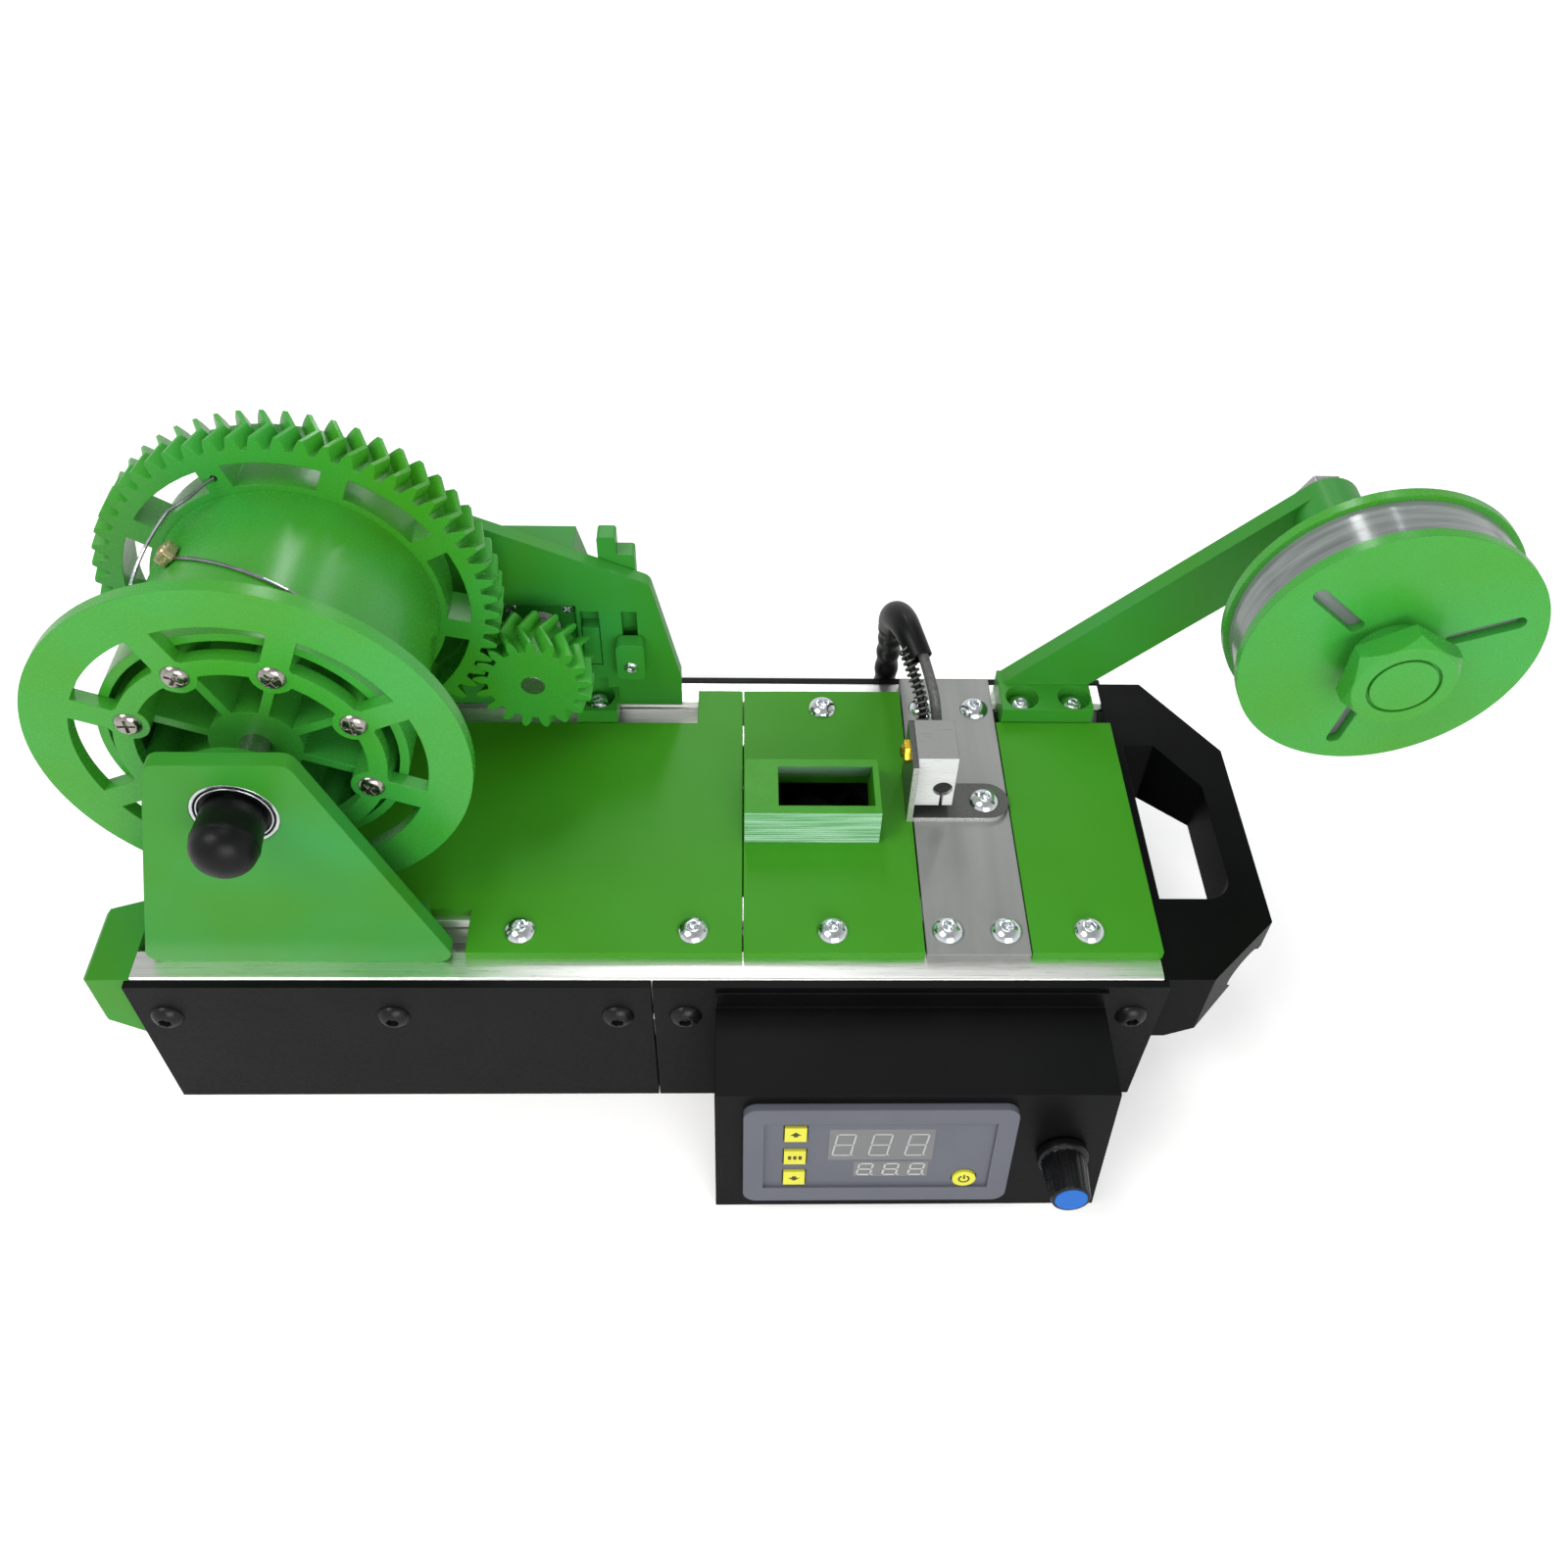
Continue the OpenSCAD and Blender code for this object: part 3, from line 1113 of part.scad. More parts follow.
module reel_arm() color([0.27, 0.62, 0.16]) difference() {
    union() {
        from_front(arm_front, arm_t) intersection() {
            translate([arm_foot_x0, top]) square([reel_x - arm_foot_x0 + reel_boss_r, reel_above + reel_boss_r]);
            translate([reel_x, reel_z]) rotate(arm_lean) union() {
                translate([-2 * reel_above, -arm_h / 2]) square([2 * reel_above, arm_h]);
                circle(reel_boss_r);
            }
        }
        rod_y(reel_x, reel_back + reel_gap, reel_z, reel_boss_r, arm_back - reel_back - reel_gap);
        translate([arm_foot_x0, back - arm_notch, top]) cube([arm_foot_w, arm_back - back + arm_notch, arm_foot_h]);
    }
    for (x = arm_screws_x) translate([x, slot_back, top]) {
        translate([0, 0, -cut]) cylinder(h = arm_foot_h + 2 * cut, r = screw_hole_r);
        translate([0, 0, foot_seat]) cylinder(h = arm_foot_h, r = foot_bore_r);
    }
    rod_y(reel_x, reel_back, reel_z, reel_bolt_r + run_fit, arm_back - reel_back + cut);
}

reel_bolt_head = 5;

module reel_axle() color([0.7, 0.7, 0.72]) {
    rod_y(reel_x, reel_front + reel_disc_t, reel_z, reel_bolt_r, arm_back + reel_gap - reel_front - reel_disc_t);
    translate([reel_x, arm_back + reel_gap, reel_z]) rotate([-90, 0, 0])
        cylinder(h = reel_bolt_head, r = axle_nut_af / sqrt(3), $fn = 6);
}

module reel_slice(y0, t) translate([reel_x, 0, reel_z]) from_front(y0, t) children();

// The rear disc carries the hub, whose thread stands out at the front for the nut
module reel_rear_disc() color([0.28, 0.66, 0.2]) difference() {
    union() {
        reel_slice(reel_back - reel_disc_t, reel_disc_t) circle(reel_r);
        reel_slice(reel_nut_front + reel_nut_sink, reel_back - reel_nut_front - reel_nut_sink) circle(reel_hub_r);
        reel_slice(reel_nut_front, reel_nut_sink + cut) circle(reel_hub_r - reel_nut_rim);
    }
    rod_y(reel_x, reel_front + reel_disc_t, reel_z, reel_bolt_r, reel_back - reel_front);
}

module strip_roll() color([0.75, 0.77, 0.8]) reel_slice(reel_front + reel_disc_t, strip_w) difference() {
    circle(strip_r);
    circle(reel_hub_r);
}

module reel_front_disc() color([0.28, 0.66, 0.24]) reel_slice(reel_front, reel_disc_t) difference() {
    circle(reel_r);
    circle(reel_hub_r);
    around(reel_slots, reel_slot_turn) {
        translate([reel_slot_in, -reel_slot_w / 2]) square([reel_slot_out - reel_slot_in, reel_slot_w]);
        for (x = [reel_slot_in, reel_slot_out]) translate([x, 0]) circle(reel_slot_w / 2);
    }
}

module reel_nut() color([0.28, 0.66, 0.2]) difference() {
    union() {
        intersection() {
            reel_slice(reel_nut_front, reel_nut_t) rotate(30) circle(reel_nut_af / sqrt(3), $fn = 6);
            translate([reel_x, reel_nut_front, reel_z]) rotate([-90, 0, 0])
                cylinder(h = reel_nut_t, r1 = reel_nut_face_r, r2 = reel_nut_face_r + reel_nut_cone);
        }
        reel_slice(reel_nut_front + reel_nut_t - cut, reel_nut_stand + cut) circle(reel_nut_collar_r);
    }
    rod_y(reel_x, reel_nut_front - cut, reel_z, reel_hub_r, reel_nut_t + reel_nut_stand + 2 * cut);
    rod_y(reel_x, reel_nut_front - cut, reel_z, reel_hub_r + reel_nut_rim / 2, reel_nut_sink + cut);
}

// Control box, with a front that leans back towards its top
box_top = top - box_drop;
box_lip = 7;             // flange of the box above its top
box_lip_t = 1;
box_face_y = front - skirt_t - (box_top_d - skirt_t);
box_lean = atan((box_foot_d - box_top_d) / box_top);
cutout_w = 71;
cutout_h = 38;
controller_x = 46.2;     // centre of the controller, from the left of the box
controller_down = 24.6;  // and down the sloping front
knob_from_right = 13;    // knob axis, from the right of the box
knob_from_left = box_len - knob_from_right;
knob_down = 25.5;
pot_hole_r = 3.6;

function box_inner_y(z) = front - box_foot_d + z * tan(box_lean) + box_wall / cos(box_lean);

// Places a child on the sloping front: x from the left of the box, down its slope, and out along Z
module on_face(x, s) translate([box_x0, front - box_top_d, box_top]) rotate([90 - box_lean, 0, 0])
    translate([x, -s, 0]) children();

module control_box() color([0.07, 0.07, 0.07]) difference() {
    union() {
        from_left(box_x0, box_len) polygon([[front - skirt_t, 0], [front - box_foot_d, 0],
            [front - box_top_d, box_top], [front - skirt_t, box_top]]);
        translate([box_x0, front - skirt_t - box_lip_t, box_top - cut]) cube([box_len, box_lip_t, box_lip + cut]);
    }
    from_left(box_x0 + box_wall, box_len - 2 * box_wall) polygon([[front - skirt_t + cut, box_wall],
        [box_inner_y(box_wall), box_wall], [box_inner_y(box_top - box_wall), box_top - box_wall],
        [front - skirt_t + cut, box_top - box_wall]]);
    on_face(controller_x - cutout_w / 2, controller_down + cutout_h / 2) translate([0, 0, -box_wall * 2])
        cube([cutout_w, cutout_h, box_wall * 4]);
    on_face(knob_from_left, knob_down) translate([0, 0, -box_wall * 2]) cylinder(h = box_wall * 4, r = pot_hole_r);
}

bezel_t = 2.4;
bezel_round = 4;
window_w = 65;
window_h = 30;
window_t = 1;            // depth of the sunk face
body_d = 22;             // depth of the controller behind the box front
button_w = 6.2;
button_t = 1.4;          // the buttons stand out of the sunk face by their travel and a bit
button_travel = 0.5;
button_gap = 0.3;
button_x = -23.6;        // from the centre of the controller
buttons_y = [9.8, -0.8, -10.6];
power_x = 25.6;
power_y = -11.3;
power_r = 3.4;
face_out = bezel_t - window_t;
button_hole = 2;         // depth of the wells of the buttons
display_x = [-6, 5];     // left edge of the big and of the small display
display_big = [-14.2, -2.9, 29.9, 14.3];    // left, foot, width and height
display_small = [-6.7, -10.9, 21.6, 7.2];
lens_t = 0.6;

module on_controller() on_face(controller_x, controller_down) children();

module controller() color([0.3, 0.31, 0.38]) on_controller() difference() {
    union() {
        translate([-bezel_w / 2, -bezel_h / 2, 0]) linear_extrude(bezel_t) round_rect(bezel_w, bezel_h, bezel_round);
        translate([-(cutout_w - part_gap) / 2, -(cutout_h - part_gap) / 2, -body_d])
            cube([cutout_w - part_gap, cutout_h - part_gap, body_d + cut / 2]);
    }
    translate([-window_w / 2, -window_h / 2, face_out]) cube([window_w, window_h, bezel_t]);
    for (y = buttons_y) translate([button_x - button_w / 2 - button_gap, y - button_w / 2 - button_gap, face_out - button_hole])
        cube([button_w + 2 * button_gap, button_w + 2 * button_gap, button_hole + cut]);
    translate([power_x, power_y, face_out - button_hole]) cylinder(h = button_hole + cut, r = power_r + button_gap);
    for (d = [display_big, display_small]) translate([d[0], d[1], face_out - lens_t]) cube([d[2], d[3], lens_t + cut]);
}

module display_lens() color([0.45, 0.46, 0.46]) on_controller()
    for (d = [display_big, display_small]) translate([d[0], d[1], face_out - lens_t]) cube([d[2], d[3], lens_t]);

button_rise = 0.7;       // the buttons stand out of the sunk face
button_len = button_rise + button_hole - button_travel - button_gap;

module square_button(i) color([0.85, 0.82, 0.2]) on_controller()
    translate([button_x - button_w / 2, buttons_y[i] - button_w / 2, face_out + button_rise - button_len])
        cube([button_w, button_w, button_len]);

module button_up() square_button(0);
module button_set() square_button(1);
module button_down() square_button(2);
module button_power() color([0.85, 0.82, 0.2]) on_controller()
    translate([power_x, power_y, face_out + button_rise - button_len]) cylinder(h = button_len, r = power_r);

knob_skirt_h = 3;
knob_tip_r = 5.6;
knob_cap_r = 4.6;
knob_cap_t = 1.2;
knob_off = 0.6;          // between the knob and the box
pot_shaft_r = 3;
pot_r = 8;
pot_d = 9;
pot_nut_h = 0.5;
pot_shaft_len = 9;

module control_knob() color([0.05, 0.05, 0.05]) on_face(knob_from_left, knob_down) difference() {
    translate([0, 0, knob_off]) union() {
        cylinder(h = knob_skirt_h, r = knob_r);
        translate([0, 0, knob_skirt_h]) cylinder(h = knob_len - knob_skirt_h, r1 = knob_r * 0.88, r2 = knob_tip_r);
    }
    translate([0, 0, knob_off + knob_len - knob_cap_t]) cylinder(h = knob_cap_t + cut, r = knob_cap_r);
    translate([0, 0, -cut]) cylinder(h = knob_off + pot_shaft_len + cut, r = pot_shaft_r);
}

module knob_cap() color([0.05, 0.35, 0.8]) on_face(knob_from_left, knob_down)
    translate([0, 0, knob_off + knob_len - knob_cap_t]) cylinder(h = knob_cap_t + run_fit * 2, r = knob_cap_r);

module potentiometer() color([0.5, 0.5, 0.5]) on_face(knob_from_left, knob_down) {
    translate([0, 0, -box_wall - pot_d]) cylinder(h = pot_d, r = pot_r);
    translate([0, 0, -box_wall]) cylinder(h = box_wall, r = pot_hole_r);
    cylinder(h = knob_off + pot_shaft_len - cut, r = pot_shaft_r - run_fit);
}

front_rail();
rear_rail();
cross_rail();
end_caps();
handle();
base_tray();
power_socket();
speed_board();
front_skirt_left();
front_skirt_right();
rear_skirt();
skirt_screws();
deck_left();
deck_middle();
deck_right();
deck_screws();
cooling_duct();
fan_frame();
fan_rotor();
hotend_plate();
hotend_bracket();
heater_block();
nozzle();
heater_cartridge();
heater_lead();
lead_boot();
front_bracket();
rear_bracket();
bracket_screws();
drum_bearings();
drum_axle();
axle_caps();
drum_barrel();
drum_flange();
flange_screws();
drum_gear();
leader_wire();
wire_clip();
pinion();
gear_motor();
motor_shaft();
motor_cover();
clamp_block();
clamp_jaw();
reel_arm();
reel_axle();
reel_rear_disc();
strip_roll();
reel_front_disc();
reel_nut();
control_box();
controller();
display_lens();
button_up();
button_set();
button_down();
button_power();
control_knob();
knob_cap();
potentiometer();
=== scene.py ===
"""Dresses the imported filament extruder: materials, small fittings, camera and light."""
import json
import math

import bmesh
import bpy
from mathutils import Matrix, Vector

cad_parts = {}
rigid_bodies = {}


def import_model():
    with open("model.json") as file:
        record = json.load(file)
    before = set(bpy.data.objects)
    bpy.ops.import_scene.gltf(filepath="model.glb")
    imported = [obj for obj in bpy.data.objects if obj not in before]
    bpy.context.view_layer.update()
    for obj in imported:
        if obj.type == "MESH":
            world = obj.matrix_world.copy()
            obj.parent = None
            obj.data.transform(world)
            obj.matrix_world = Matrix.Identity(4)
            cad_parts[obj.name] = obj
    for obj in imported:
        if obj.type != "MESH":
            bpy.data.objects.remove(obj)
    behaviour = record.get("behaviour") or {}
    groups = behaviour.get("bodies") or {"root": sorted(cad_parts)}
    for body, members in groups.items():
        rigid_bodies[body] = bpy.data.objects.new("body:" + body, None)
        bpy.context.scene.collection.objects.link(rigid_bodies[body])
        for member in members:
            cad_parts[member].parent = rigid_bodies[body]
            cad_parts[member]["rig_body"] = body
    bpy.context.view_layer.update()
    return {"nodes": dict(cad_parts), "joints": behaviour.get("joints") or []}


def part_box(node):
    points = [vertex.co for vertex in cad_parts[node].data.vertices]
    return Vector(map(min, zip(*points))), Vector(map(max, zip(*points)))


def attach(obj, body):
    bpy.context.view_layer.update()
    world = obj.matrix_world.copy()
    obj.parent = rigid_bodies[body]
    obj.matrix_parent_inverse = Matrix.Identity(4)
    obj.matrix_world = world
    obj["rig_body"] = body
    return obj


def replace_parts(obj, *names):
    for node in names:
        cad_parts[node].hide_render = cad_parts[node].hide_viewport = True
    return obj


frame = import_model()
nodes = frame["nodes"]
scene = bpy.context.scene

# The model and the lamps are in metres. Pieces are drawn in millimetres.
MM = 0.001
UM = 0.000001

UP, RIGHT, FRONT, BACK = (0, 0, 1), (1, 0, 0), (0, -1, 0), (0, 1, 0)


# Places of the model

def corners(node):
    """Lowest and highest corner of a node, in millimetres."""
    low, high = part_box(node)
    return low / MM, high / MM


def middle(node):
    """Centre of a node's box, in millimetres."""
    low, high = corners(node)
    return (low + high) / 2


def pivot(joint):
    """A point on a joint's axis, in millimetres."""
    return Vector(next(j["pos_m"] for j in frame["joints"] if j["name"] == joint)) / MM


def body_of_node(node):
    """The body that a node rides on."""
    return nodes[node]["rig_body"]


# Materials

BAND = 0.314  # metres from band to band of a wave texture at a scale of 1
RIDGE_SHARE = 1.5  # height of printed ridges over that of the grain
COAT_ROUGHNESS = 0.12
BEVEL_SAMPLES = 4


def new_material(name):
    """An empty node material and its shader."""
    material = bpy.data.materials.new(name)
    material.use_nodes = True
    tree = material.node_tree
    shader = tree.nodes["Principled BSDF"]
    return material, tree, shader


def coordinates(tree, stretch):
    """Object coordinates, in metres, stretched along the axes."""
    where = tree.nodes.new("ShaderNodeTexCoord")
    mapping = tree.nodes.new("ShaderNodeMapping")
    mapping.inputs["Scale"].default_value = stretch
    tree.links.new(where.outputs["Object"], mapping.inputs["Vector"])
    return mapping.outputs["Vector"]


def noise(tree, vector, size, roughness=0.55):
    """Noise whose features have about the given size, in millimetres."""
    node = tree.nodes.new("ShaderNodeTexNoise")
    node.inputs["Scale"].default_value = 1 / (size * MM)
    node.inputs["Detail"].default_value = 2
    node.inputs["Roughness"].default_value = roughness
    tree.links.new(vector, node.inputs["Vector"])
    return node.outputs["Fac"]


def ramp(tree, value, low, high, start=0.3, stop=0.7):
    """A value turned into a colour or a grey between two levels."""
    node = tree.nodes.new("ShaderNodeValToRGB")
    node.color_ramp.elements[0].position = start
    node.color_ramp.elements[1].position = stop
    node.color_ramp.elements[0].color = low
    node.color_ramp.elements[1].color = high
    tree.links.new(value, node.inputs["Fac"])
    return node.outputs["Color"]


def grey(level):
    """A grey as a colour."""
    return (level, level, level, 1)


def shade(colour, factor):
    """A colour made lighter or darker."""
    return tuple(min(1, c * factor) for c in colour) + (1,)


def bump(tree, shader, height, depth, edge):
    """Relief on the shader's normal, and rounded edges. depth and the edges' radius are in metres."""
    node = tree.nodes.new("ShaderNodeBump")
    node.inputs["Distance"].default_value = depth
    tree.links.new(height, node.inputs["Height"])
    if edge:
        rounded = tree.nodes.new("ShaderNodeBevel")
        rounded.samples = BEVEL_SAMPLES
        rounded.inputs["Radius"].default_value = edge
        tree.links.new(rounded.outputs["Normal"], node.inputs["Normal"])
    tree.links.new(node.outputs["Normal"], shader.inputs["Normal"])


def layer_lines(tree, height, period):
    """Adds the fine ridges of printed layers, with the given period in metres, to a height."""
    where = tree.nodes.new("ShaderNodeTexCoord")
    wave = tree.nodes.new("ShaderNodeTexWave")
    wave.bands_direction = "Z"
    wave.inputs["Scale"].default_value = BAND / period
    wave.inputs["Distortion"].default_value = 0.4
    wave.inputs["Detail"].default_value = 1
    tree.links.new(where.outputs["Object"], wave.inputs["Vector"])
    ridges = tree.nodes.new("ShaderNodeMath")
    ridges.operation = "MULTIPLY_ADD"
    ridges.inputs[1].default_value = RIDGE_SHARE
    tree.links.new(wave.outputs["Fac"], ridges.inputs[0])
    tree.links.new(height, ridges.inputs[2])
    return ridges.outputs["Value"]


def surface(name, colour, rough, metal=0.0, vary=0.06, size=20, grain=0.6, depth=10, stretch=(1, 1, 1),
            specular=0.3, coat=0.0, layers=0, edge=0.4, tint=None):
    """A moulded, printed, painted or machined finish.

    rough is the range of the roughness, and vary the change of tone over patches of the given size.
    tint is the colour of the other patches. grain and depth are the width and the depth of the relief,
    layers is the height of a printed layer, and edge the radius of the rounded edges. depth is in
    micrometres, and the other lengths are in millimetres. stretch draws the pattern out along the axes
    where it is below 1.
    """
    material, tree, shader = new_material(name)
    vector = coordinates(tree, stretch)
    patches = noise(tree, vector, size)
    tone = ramp(tree, patches, shade(colour, 1 - vary), shade(tint or colour, 1 + vary))
    tree.links.new(tone, shader.inputs["Base Color"])
    fine = noise(tree, vector, grain)
    gloss = ramp(tree, fine, grey(rough[0]), grey(rough[1]))
    tree.links.new(gloss, shader.inputs["Roughness"])
    shader.inputs["Metallic"].default_value = metal
    shader.inputs["Specular IOR Level"].default_value = specular
    shader.inputs["Coat Weight"].default_value = coat
    shader.inputs["Coat Roughness"].default_value = COAT_ROUGHNESS
    relief = layer_lines(tree, fine, layers * MM) if layers else fine
    bump(tree, shader, relief, depth * UM, edge * MM)
    return material


green_panel = surface("green_panel", (0.048, 0.275, 0.009), rough=(0.30, 0.38), vary=0.04, size=60,
                      depth=5, specular=0.14, tint=(0.048, 0.285, 0.016))
green_part = surface("green_part", (0.042, 0.270, 0.010), rough=(0.34, 0.42), vary=0.05, size=45,
                     depth=4, layers=0.5, tint=(0.030, 0.280, 0.044))
green_duct = surface("green_duct", (0.048, 0.290, 0.014), rough=(0.26, 0.36), vary=0.08, size=12,
                     depth=80, layers=0.9, specular=0.22)
green_drum = surface("green_drum", (0.052, 0.335, 0.014), rough=(0.24, 0.29), vary=0.04, size=40,
                     depth=1.2, specular=0.42, tint=(0.042, 0.345, 0.046))
black_panel = surface("black_panel", (0.0036, 0.0036, 0.0041), rough=(0.34, 0.46), vary=0.25, size=30,
                      grain=0.9, depth=18, specular=0.12)
black_moulded = surface("black_moulded", (0.0032, 0.0033, 0.0036), rough=(0.32, 0.42), vary=0.2,
                        specular=0.07)
black_soft = surface("black_soft", (0.0038, 0.0040, 0.0044), rough=(0.30, 0.42), vary=0.2, specular=0.2)
anodised = surface("anodised", (0.90, 0.90, 0.87), rough=(0.26, 0.36), metal=1.0, size=0.8, grain=0.4,
                   stretch=(0.02, 1, 1))
zinc = surface("zinc", (0.72, 0.76, 0.78), rough=(0.09, 0.18), metal=1.0, vary=0.12, size=2, grain=1,
               depth=20)
nickel = surface("nickel", (0.42, 0.40, 0.36), rough=(0.14, 0.24), metal=1.0, vary=0.15, size=2)
turned = surface("turned", (0.40, 0.40, 0.41), rough=(0.22, 0.34), metal=1.0, vary=0.08, depth=6)
dark_metal = surface("dark_metal", (0.105, 0.108, 0.102), rough=(0.26, 0.36), metal=0.7, vary=0.08,
                     depth=6)
blackened = surface("blackened", (0.010, 0.010, 0.011), rough=(0.24, 0.36), metal=0.2, vary=0.1)
grey_plate = surface("grey_plate", (0.290, 0.296, 0.286), rough=(0.28, 0.38), metal=0.6, vary=0.05,
                     size=4, grain=0.5, depth=4, stretch=(1, 0.05, 1))
milled = surface("milled", (0.88, 0.89, 0.89), rough=(0.26, 0.34), metal=0.2, vary=0.04, size=3,
                 depth=2, stretch=(0.1, 1, 1), specular=0.5)
brass = surface("brass", (0.80, 0.55, 0.05), rough=(0.16, 0.28), metal=0.85, depth=6)
pale_brass = surface("pale_brass", (0.56, 0.47, 0.28), rough=(0.24, 0.36), metal=0.85, vary=0.12, size=2)
controller_grey = surface("controller_grey", (0.118, 0.124, 0.152), rough=(0.30, 0.40), vary=0.04,
                          grain=0.3, depth=8)
button_yellow = surface("button_yellow", (0.70, 0.68, 0.06), rough=(0.40, 0.50), vary=0.05, depth=6)
knob_black = surface("knob_black", (0.0045, 0.0048, 0.0055), rough=(0.20, 0.30), vary=0.1, depth=8)
knob_blue = surface("knob_blue", (0.004, 0.130, 0.520), rough=(0.18, 0.26), vary=0.04, depth=4)
board_green = surface("board_green", (0.010, 0.130, 0.060), rough=(0.30, 0.42), vary=0.1)
lens_grey = surface("lens_grey", (0.180, 0.182, 0.186), rough=(0.12, 0.18), vary=0.04, depth=2)
strip_clear = surface("strip_clear", (0.185, 0.210, 0.205), rough=(0.10, 0.30), vary=0.30, size=1.6,
                      grain=0.7, depth=30, stretch=(0.06, 1, 0.06), specular=0.5, coat=0.5)
wire_steel = surface("wire_steel", (0.30, 0.31, 0.33), rough=(0.16, 0.28), metal=1.0, vary=0.15, size=4,
                     edge=0)
cartridge_end = surface("cartridge_end", (0.045, 0.045, 0.048), rough=(0.3, 0.45), metal=0.5, vary=0.2,
                        size=2)
digit_white = surface("digit_white", (0.50, 0.51, 0.51), rough=(0.35, 0.45), vary=0.02, depth=1)
icon_dark = surface("icon_dark", (0.06, 0.06, 0.02), rough=(0.4, 0.5), vary=0.05, depth=2)
sleeve_grey = surface("sleeve_grey", (0.100, 0.100, 0.100), rough=(0.20, 0.32), vary=0.25, size=1.2,
                      grain=0.4, depth=80)
spring_dark = surface("spring_dark", (0.12, 0.12, 0.11), rough=(0.22, 0.32), metal=0.6, vary=0.1)

FINISH = {
    green_panel: ["deck_left", "deck_middle", "deck_right"],
    green_duct: ["cooling_duct"],
    green_part: ["end_caps", "front_bracket", "rear_bracket", "motor_cover", "clamp_block", "clamp_jaw",
                 "reel_arm"],
    green_drum: ["drum_barrel", "drum_flange", "drum_gear", "pinion", "reel_rear_disc",
                 "reel_front_disc", "reel_nut"],
    black_panel: ["front_skirt_left", "front_skirt_right", "rear_skirt", "base_tray", "control_box"],
    black_moulded: ["handle", "fan_frame", "fan_rotor", "power_socket"],
    black_soft: ["axle_caps", "lead_boot"],
    anodised: ["front_rail", "rear_rail", "cross_rail"],
    zinc: ["deck_screws", "bracket_screws"],
    nickel: ["flange_screws"],
    turned: ["drum_axle", "reel_axle", "drum_bearings", "motor_shaft"],
    dark_metal: ["hotend_bracket", "heater_lead"],
    cartridge_end: ["heater_cartridge"],
    blackened: ["skirt_screws"],
    grey_plate: ["hotend_plate"],
    milled: ["heater_block", "potentiometer", "gear_motor"],
    brass: ["nozzle"],
    pale_brass: ["wire_clip"],
    controller_grey: ["controller"],
    button_yellow: ["button_up", "button_set", "button_down", "button_power"],
    knob_black: ["control_knob"],
    knob_blue: ["knob_cap"],
    board_green: ["speed_board"],
    lens_grey: ["display_lens"],
    strip_clear: ["strip_roll"],
    wire_steel: ["leader_wire"],
}
for material, names in FINISH.items():
    for name in names:
        slots = nodes[name].material_slots
        if not slots:
            nodes[name].data.materials.append(material)
        for slot in slots:
            slot.material = material


# Colour by place or direction

# How far a normal lies along a direction where its face turns that way, and where it faces that way.
TURNING, FACING = 0.6, 0.9
STREAKS = 0.9  # painted glint streaks, level like the printed layers, in a millimetre


def over(material, output, axis, low, high, colour):
    """Lays a colour over a material where a coordinate runs from low to high.

    The coordinate is an axis of the Texture Coordinate node's output. colour is a tuple or a socket.
    """
    tree = material.node_tree
    shader = tree.nodes["Principled BSDF"]
    plain = shader.inputs["Base Color"].links[0].from_socket
    where = tree.nodes.new("ShaderNodeTexCoord")
    axes = tree.nodes.new("ShaderNodeSeparateXYZ")
    tree.links.new(where.outputs[output], axes.inputs["Vector"])
    span = tree.nodes.new("ShaderNodeMapRange")
    span.inputs["From Min"].default_value = low
    span.inputs["From Max"].default_value = high
    tree.links.new(axes.outputs[axis], span.inputs["Value"])
    mix = tree.nodes.new("ShaderNodeMix")
    mix.data_type = "RGBA"
    tree.links.new(span.outputs["Result"], mix.inputs["Factor"])
    tree.links.new(plain, mix.inputs["A"])
    if isinstance(colour, tuple):
        mix.inputs["B"].default_value = (*colour, 1)
    else:
        tree.links.new(colour, mix.inputs["B"])
    tree.links.new(mix.outputs["Result"], shader.inputs["Base Color"])


def streaks(material, low, high):
    """Fine level streaks between two colours, as painted glints."""
    tree = material.node_tree
    vector = coordinates(tree, (0.03, 0.03, 1))
    fine = noise(tree, vector, 1 / STREAKS, roughness=0.7)
    return ramp(tree, fine, (*low, 1), (*high, 1), start=0.34, stop=0.62)


# Painted shade: the tops of the heater block and of the other milled parts are painted darker than their
# fronts, for the light they get.
over(milled, "Normal", "Z", TURNING, FACING, (0.27, 0.275, 0.27))
# Bare cut metal and painted highlight: the angle's cut edges are painted pale only where they face the
# front.
over(dark_metal, "Normal", "Y", -TURNING, -FACING, (0.80, 0.80, 0.78))
# Painted highlight: the duct's upright front faces get pale level streaks as painted glints on the
# printed layers.
over(green_duct, "Normal", "Y", -TURNING, -FACING,
     streaks(green_duct, (0.12, 0.42, 0.14), (0.42, 0.70, 0.50)))


# Shapes

TINY = 1e-9  # keeps a division clear of zero


def piece(name, points, faces, material, body, sharp=40):
    """A mesh given in millimetres in the row frame, riding on a body."""
    mesh = bpy.data.meshes.new(name)
    mesh.from_pydata([Vector(p) * MM for p in points], [], faces)
    outward = bmesh.new()
    outward.from_mesh(mesh)
    bmesh.ops.recalc_face_normals(outward, faces=outward.faces)
    outward.to_mesh(mesh)
    outward.free()
    mesh.polygons.foreach_set("use_smooth", [True] * len(mesh.polygons))
    mesh.set_sharp_from_angle(angle=math.radians(sharp))
    mesh.materials.append(material)
    obj = bpy.data.objects.new(name, mesh)
    scene.collection.objects.link(obj)
    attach(obj, body)
    return obj


def basis(place, axis, across):
    """A placement whose Z is the axis and whose X is close to across. place is in millimetres."""
    z = Vector(axis).normalized()
    x = Vector(across)
    x = (x - z * x.dot(z)).normalized()
    return Matrix.Translation(Vector(place)) @ Matrix((x, z.cross(x), z)).transposed().to_4x4()


def angles(steps):
    """The angles of equal steps round a circle."""
    return [2 * math.pi * j / steps for j in range(steps)]


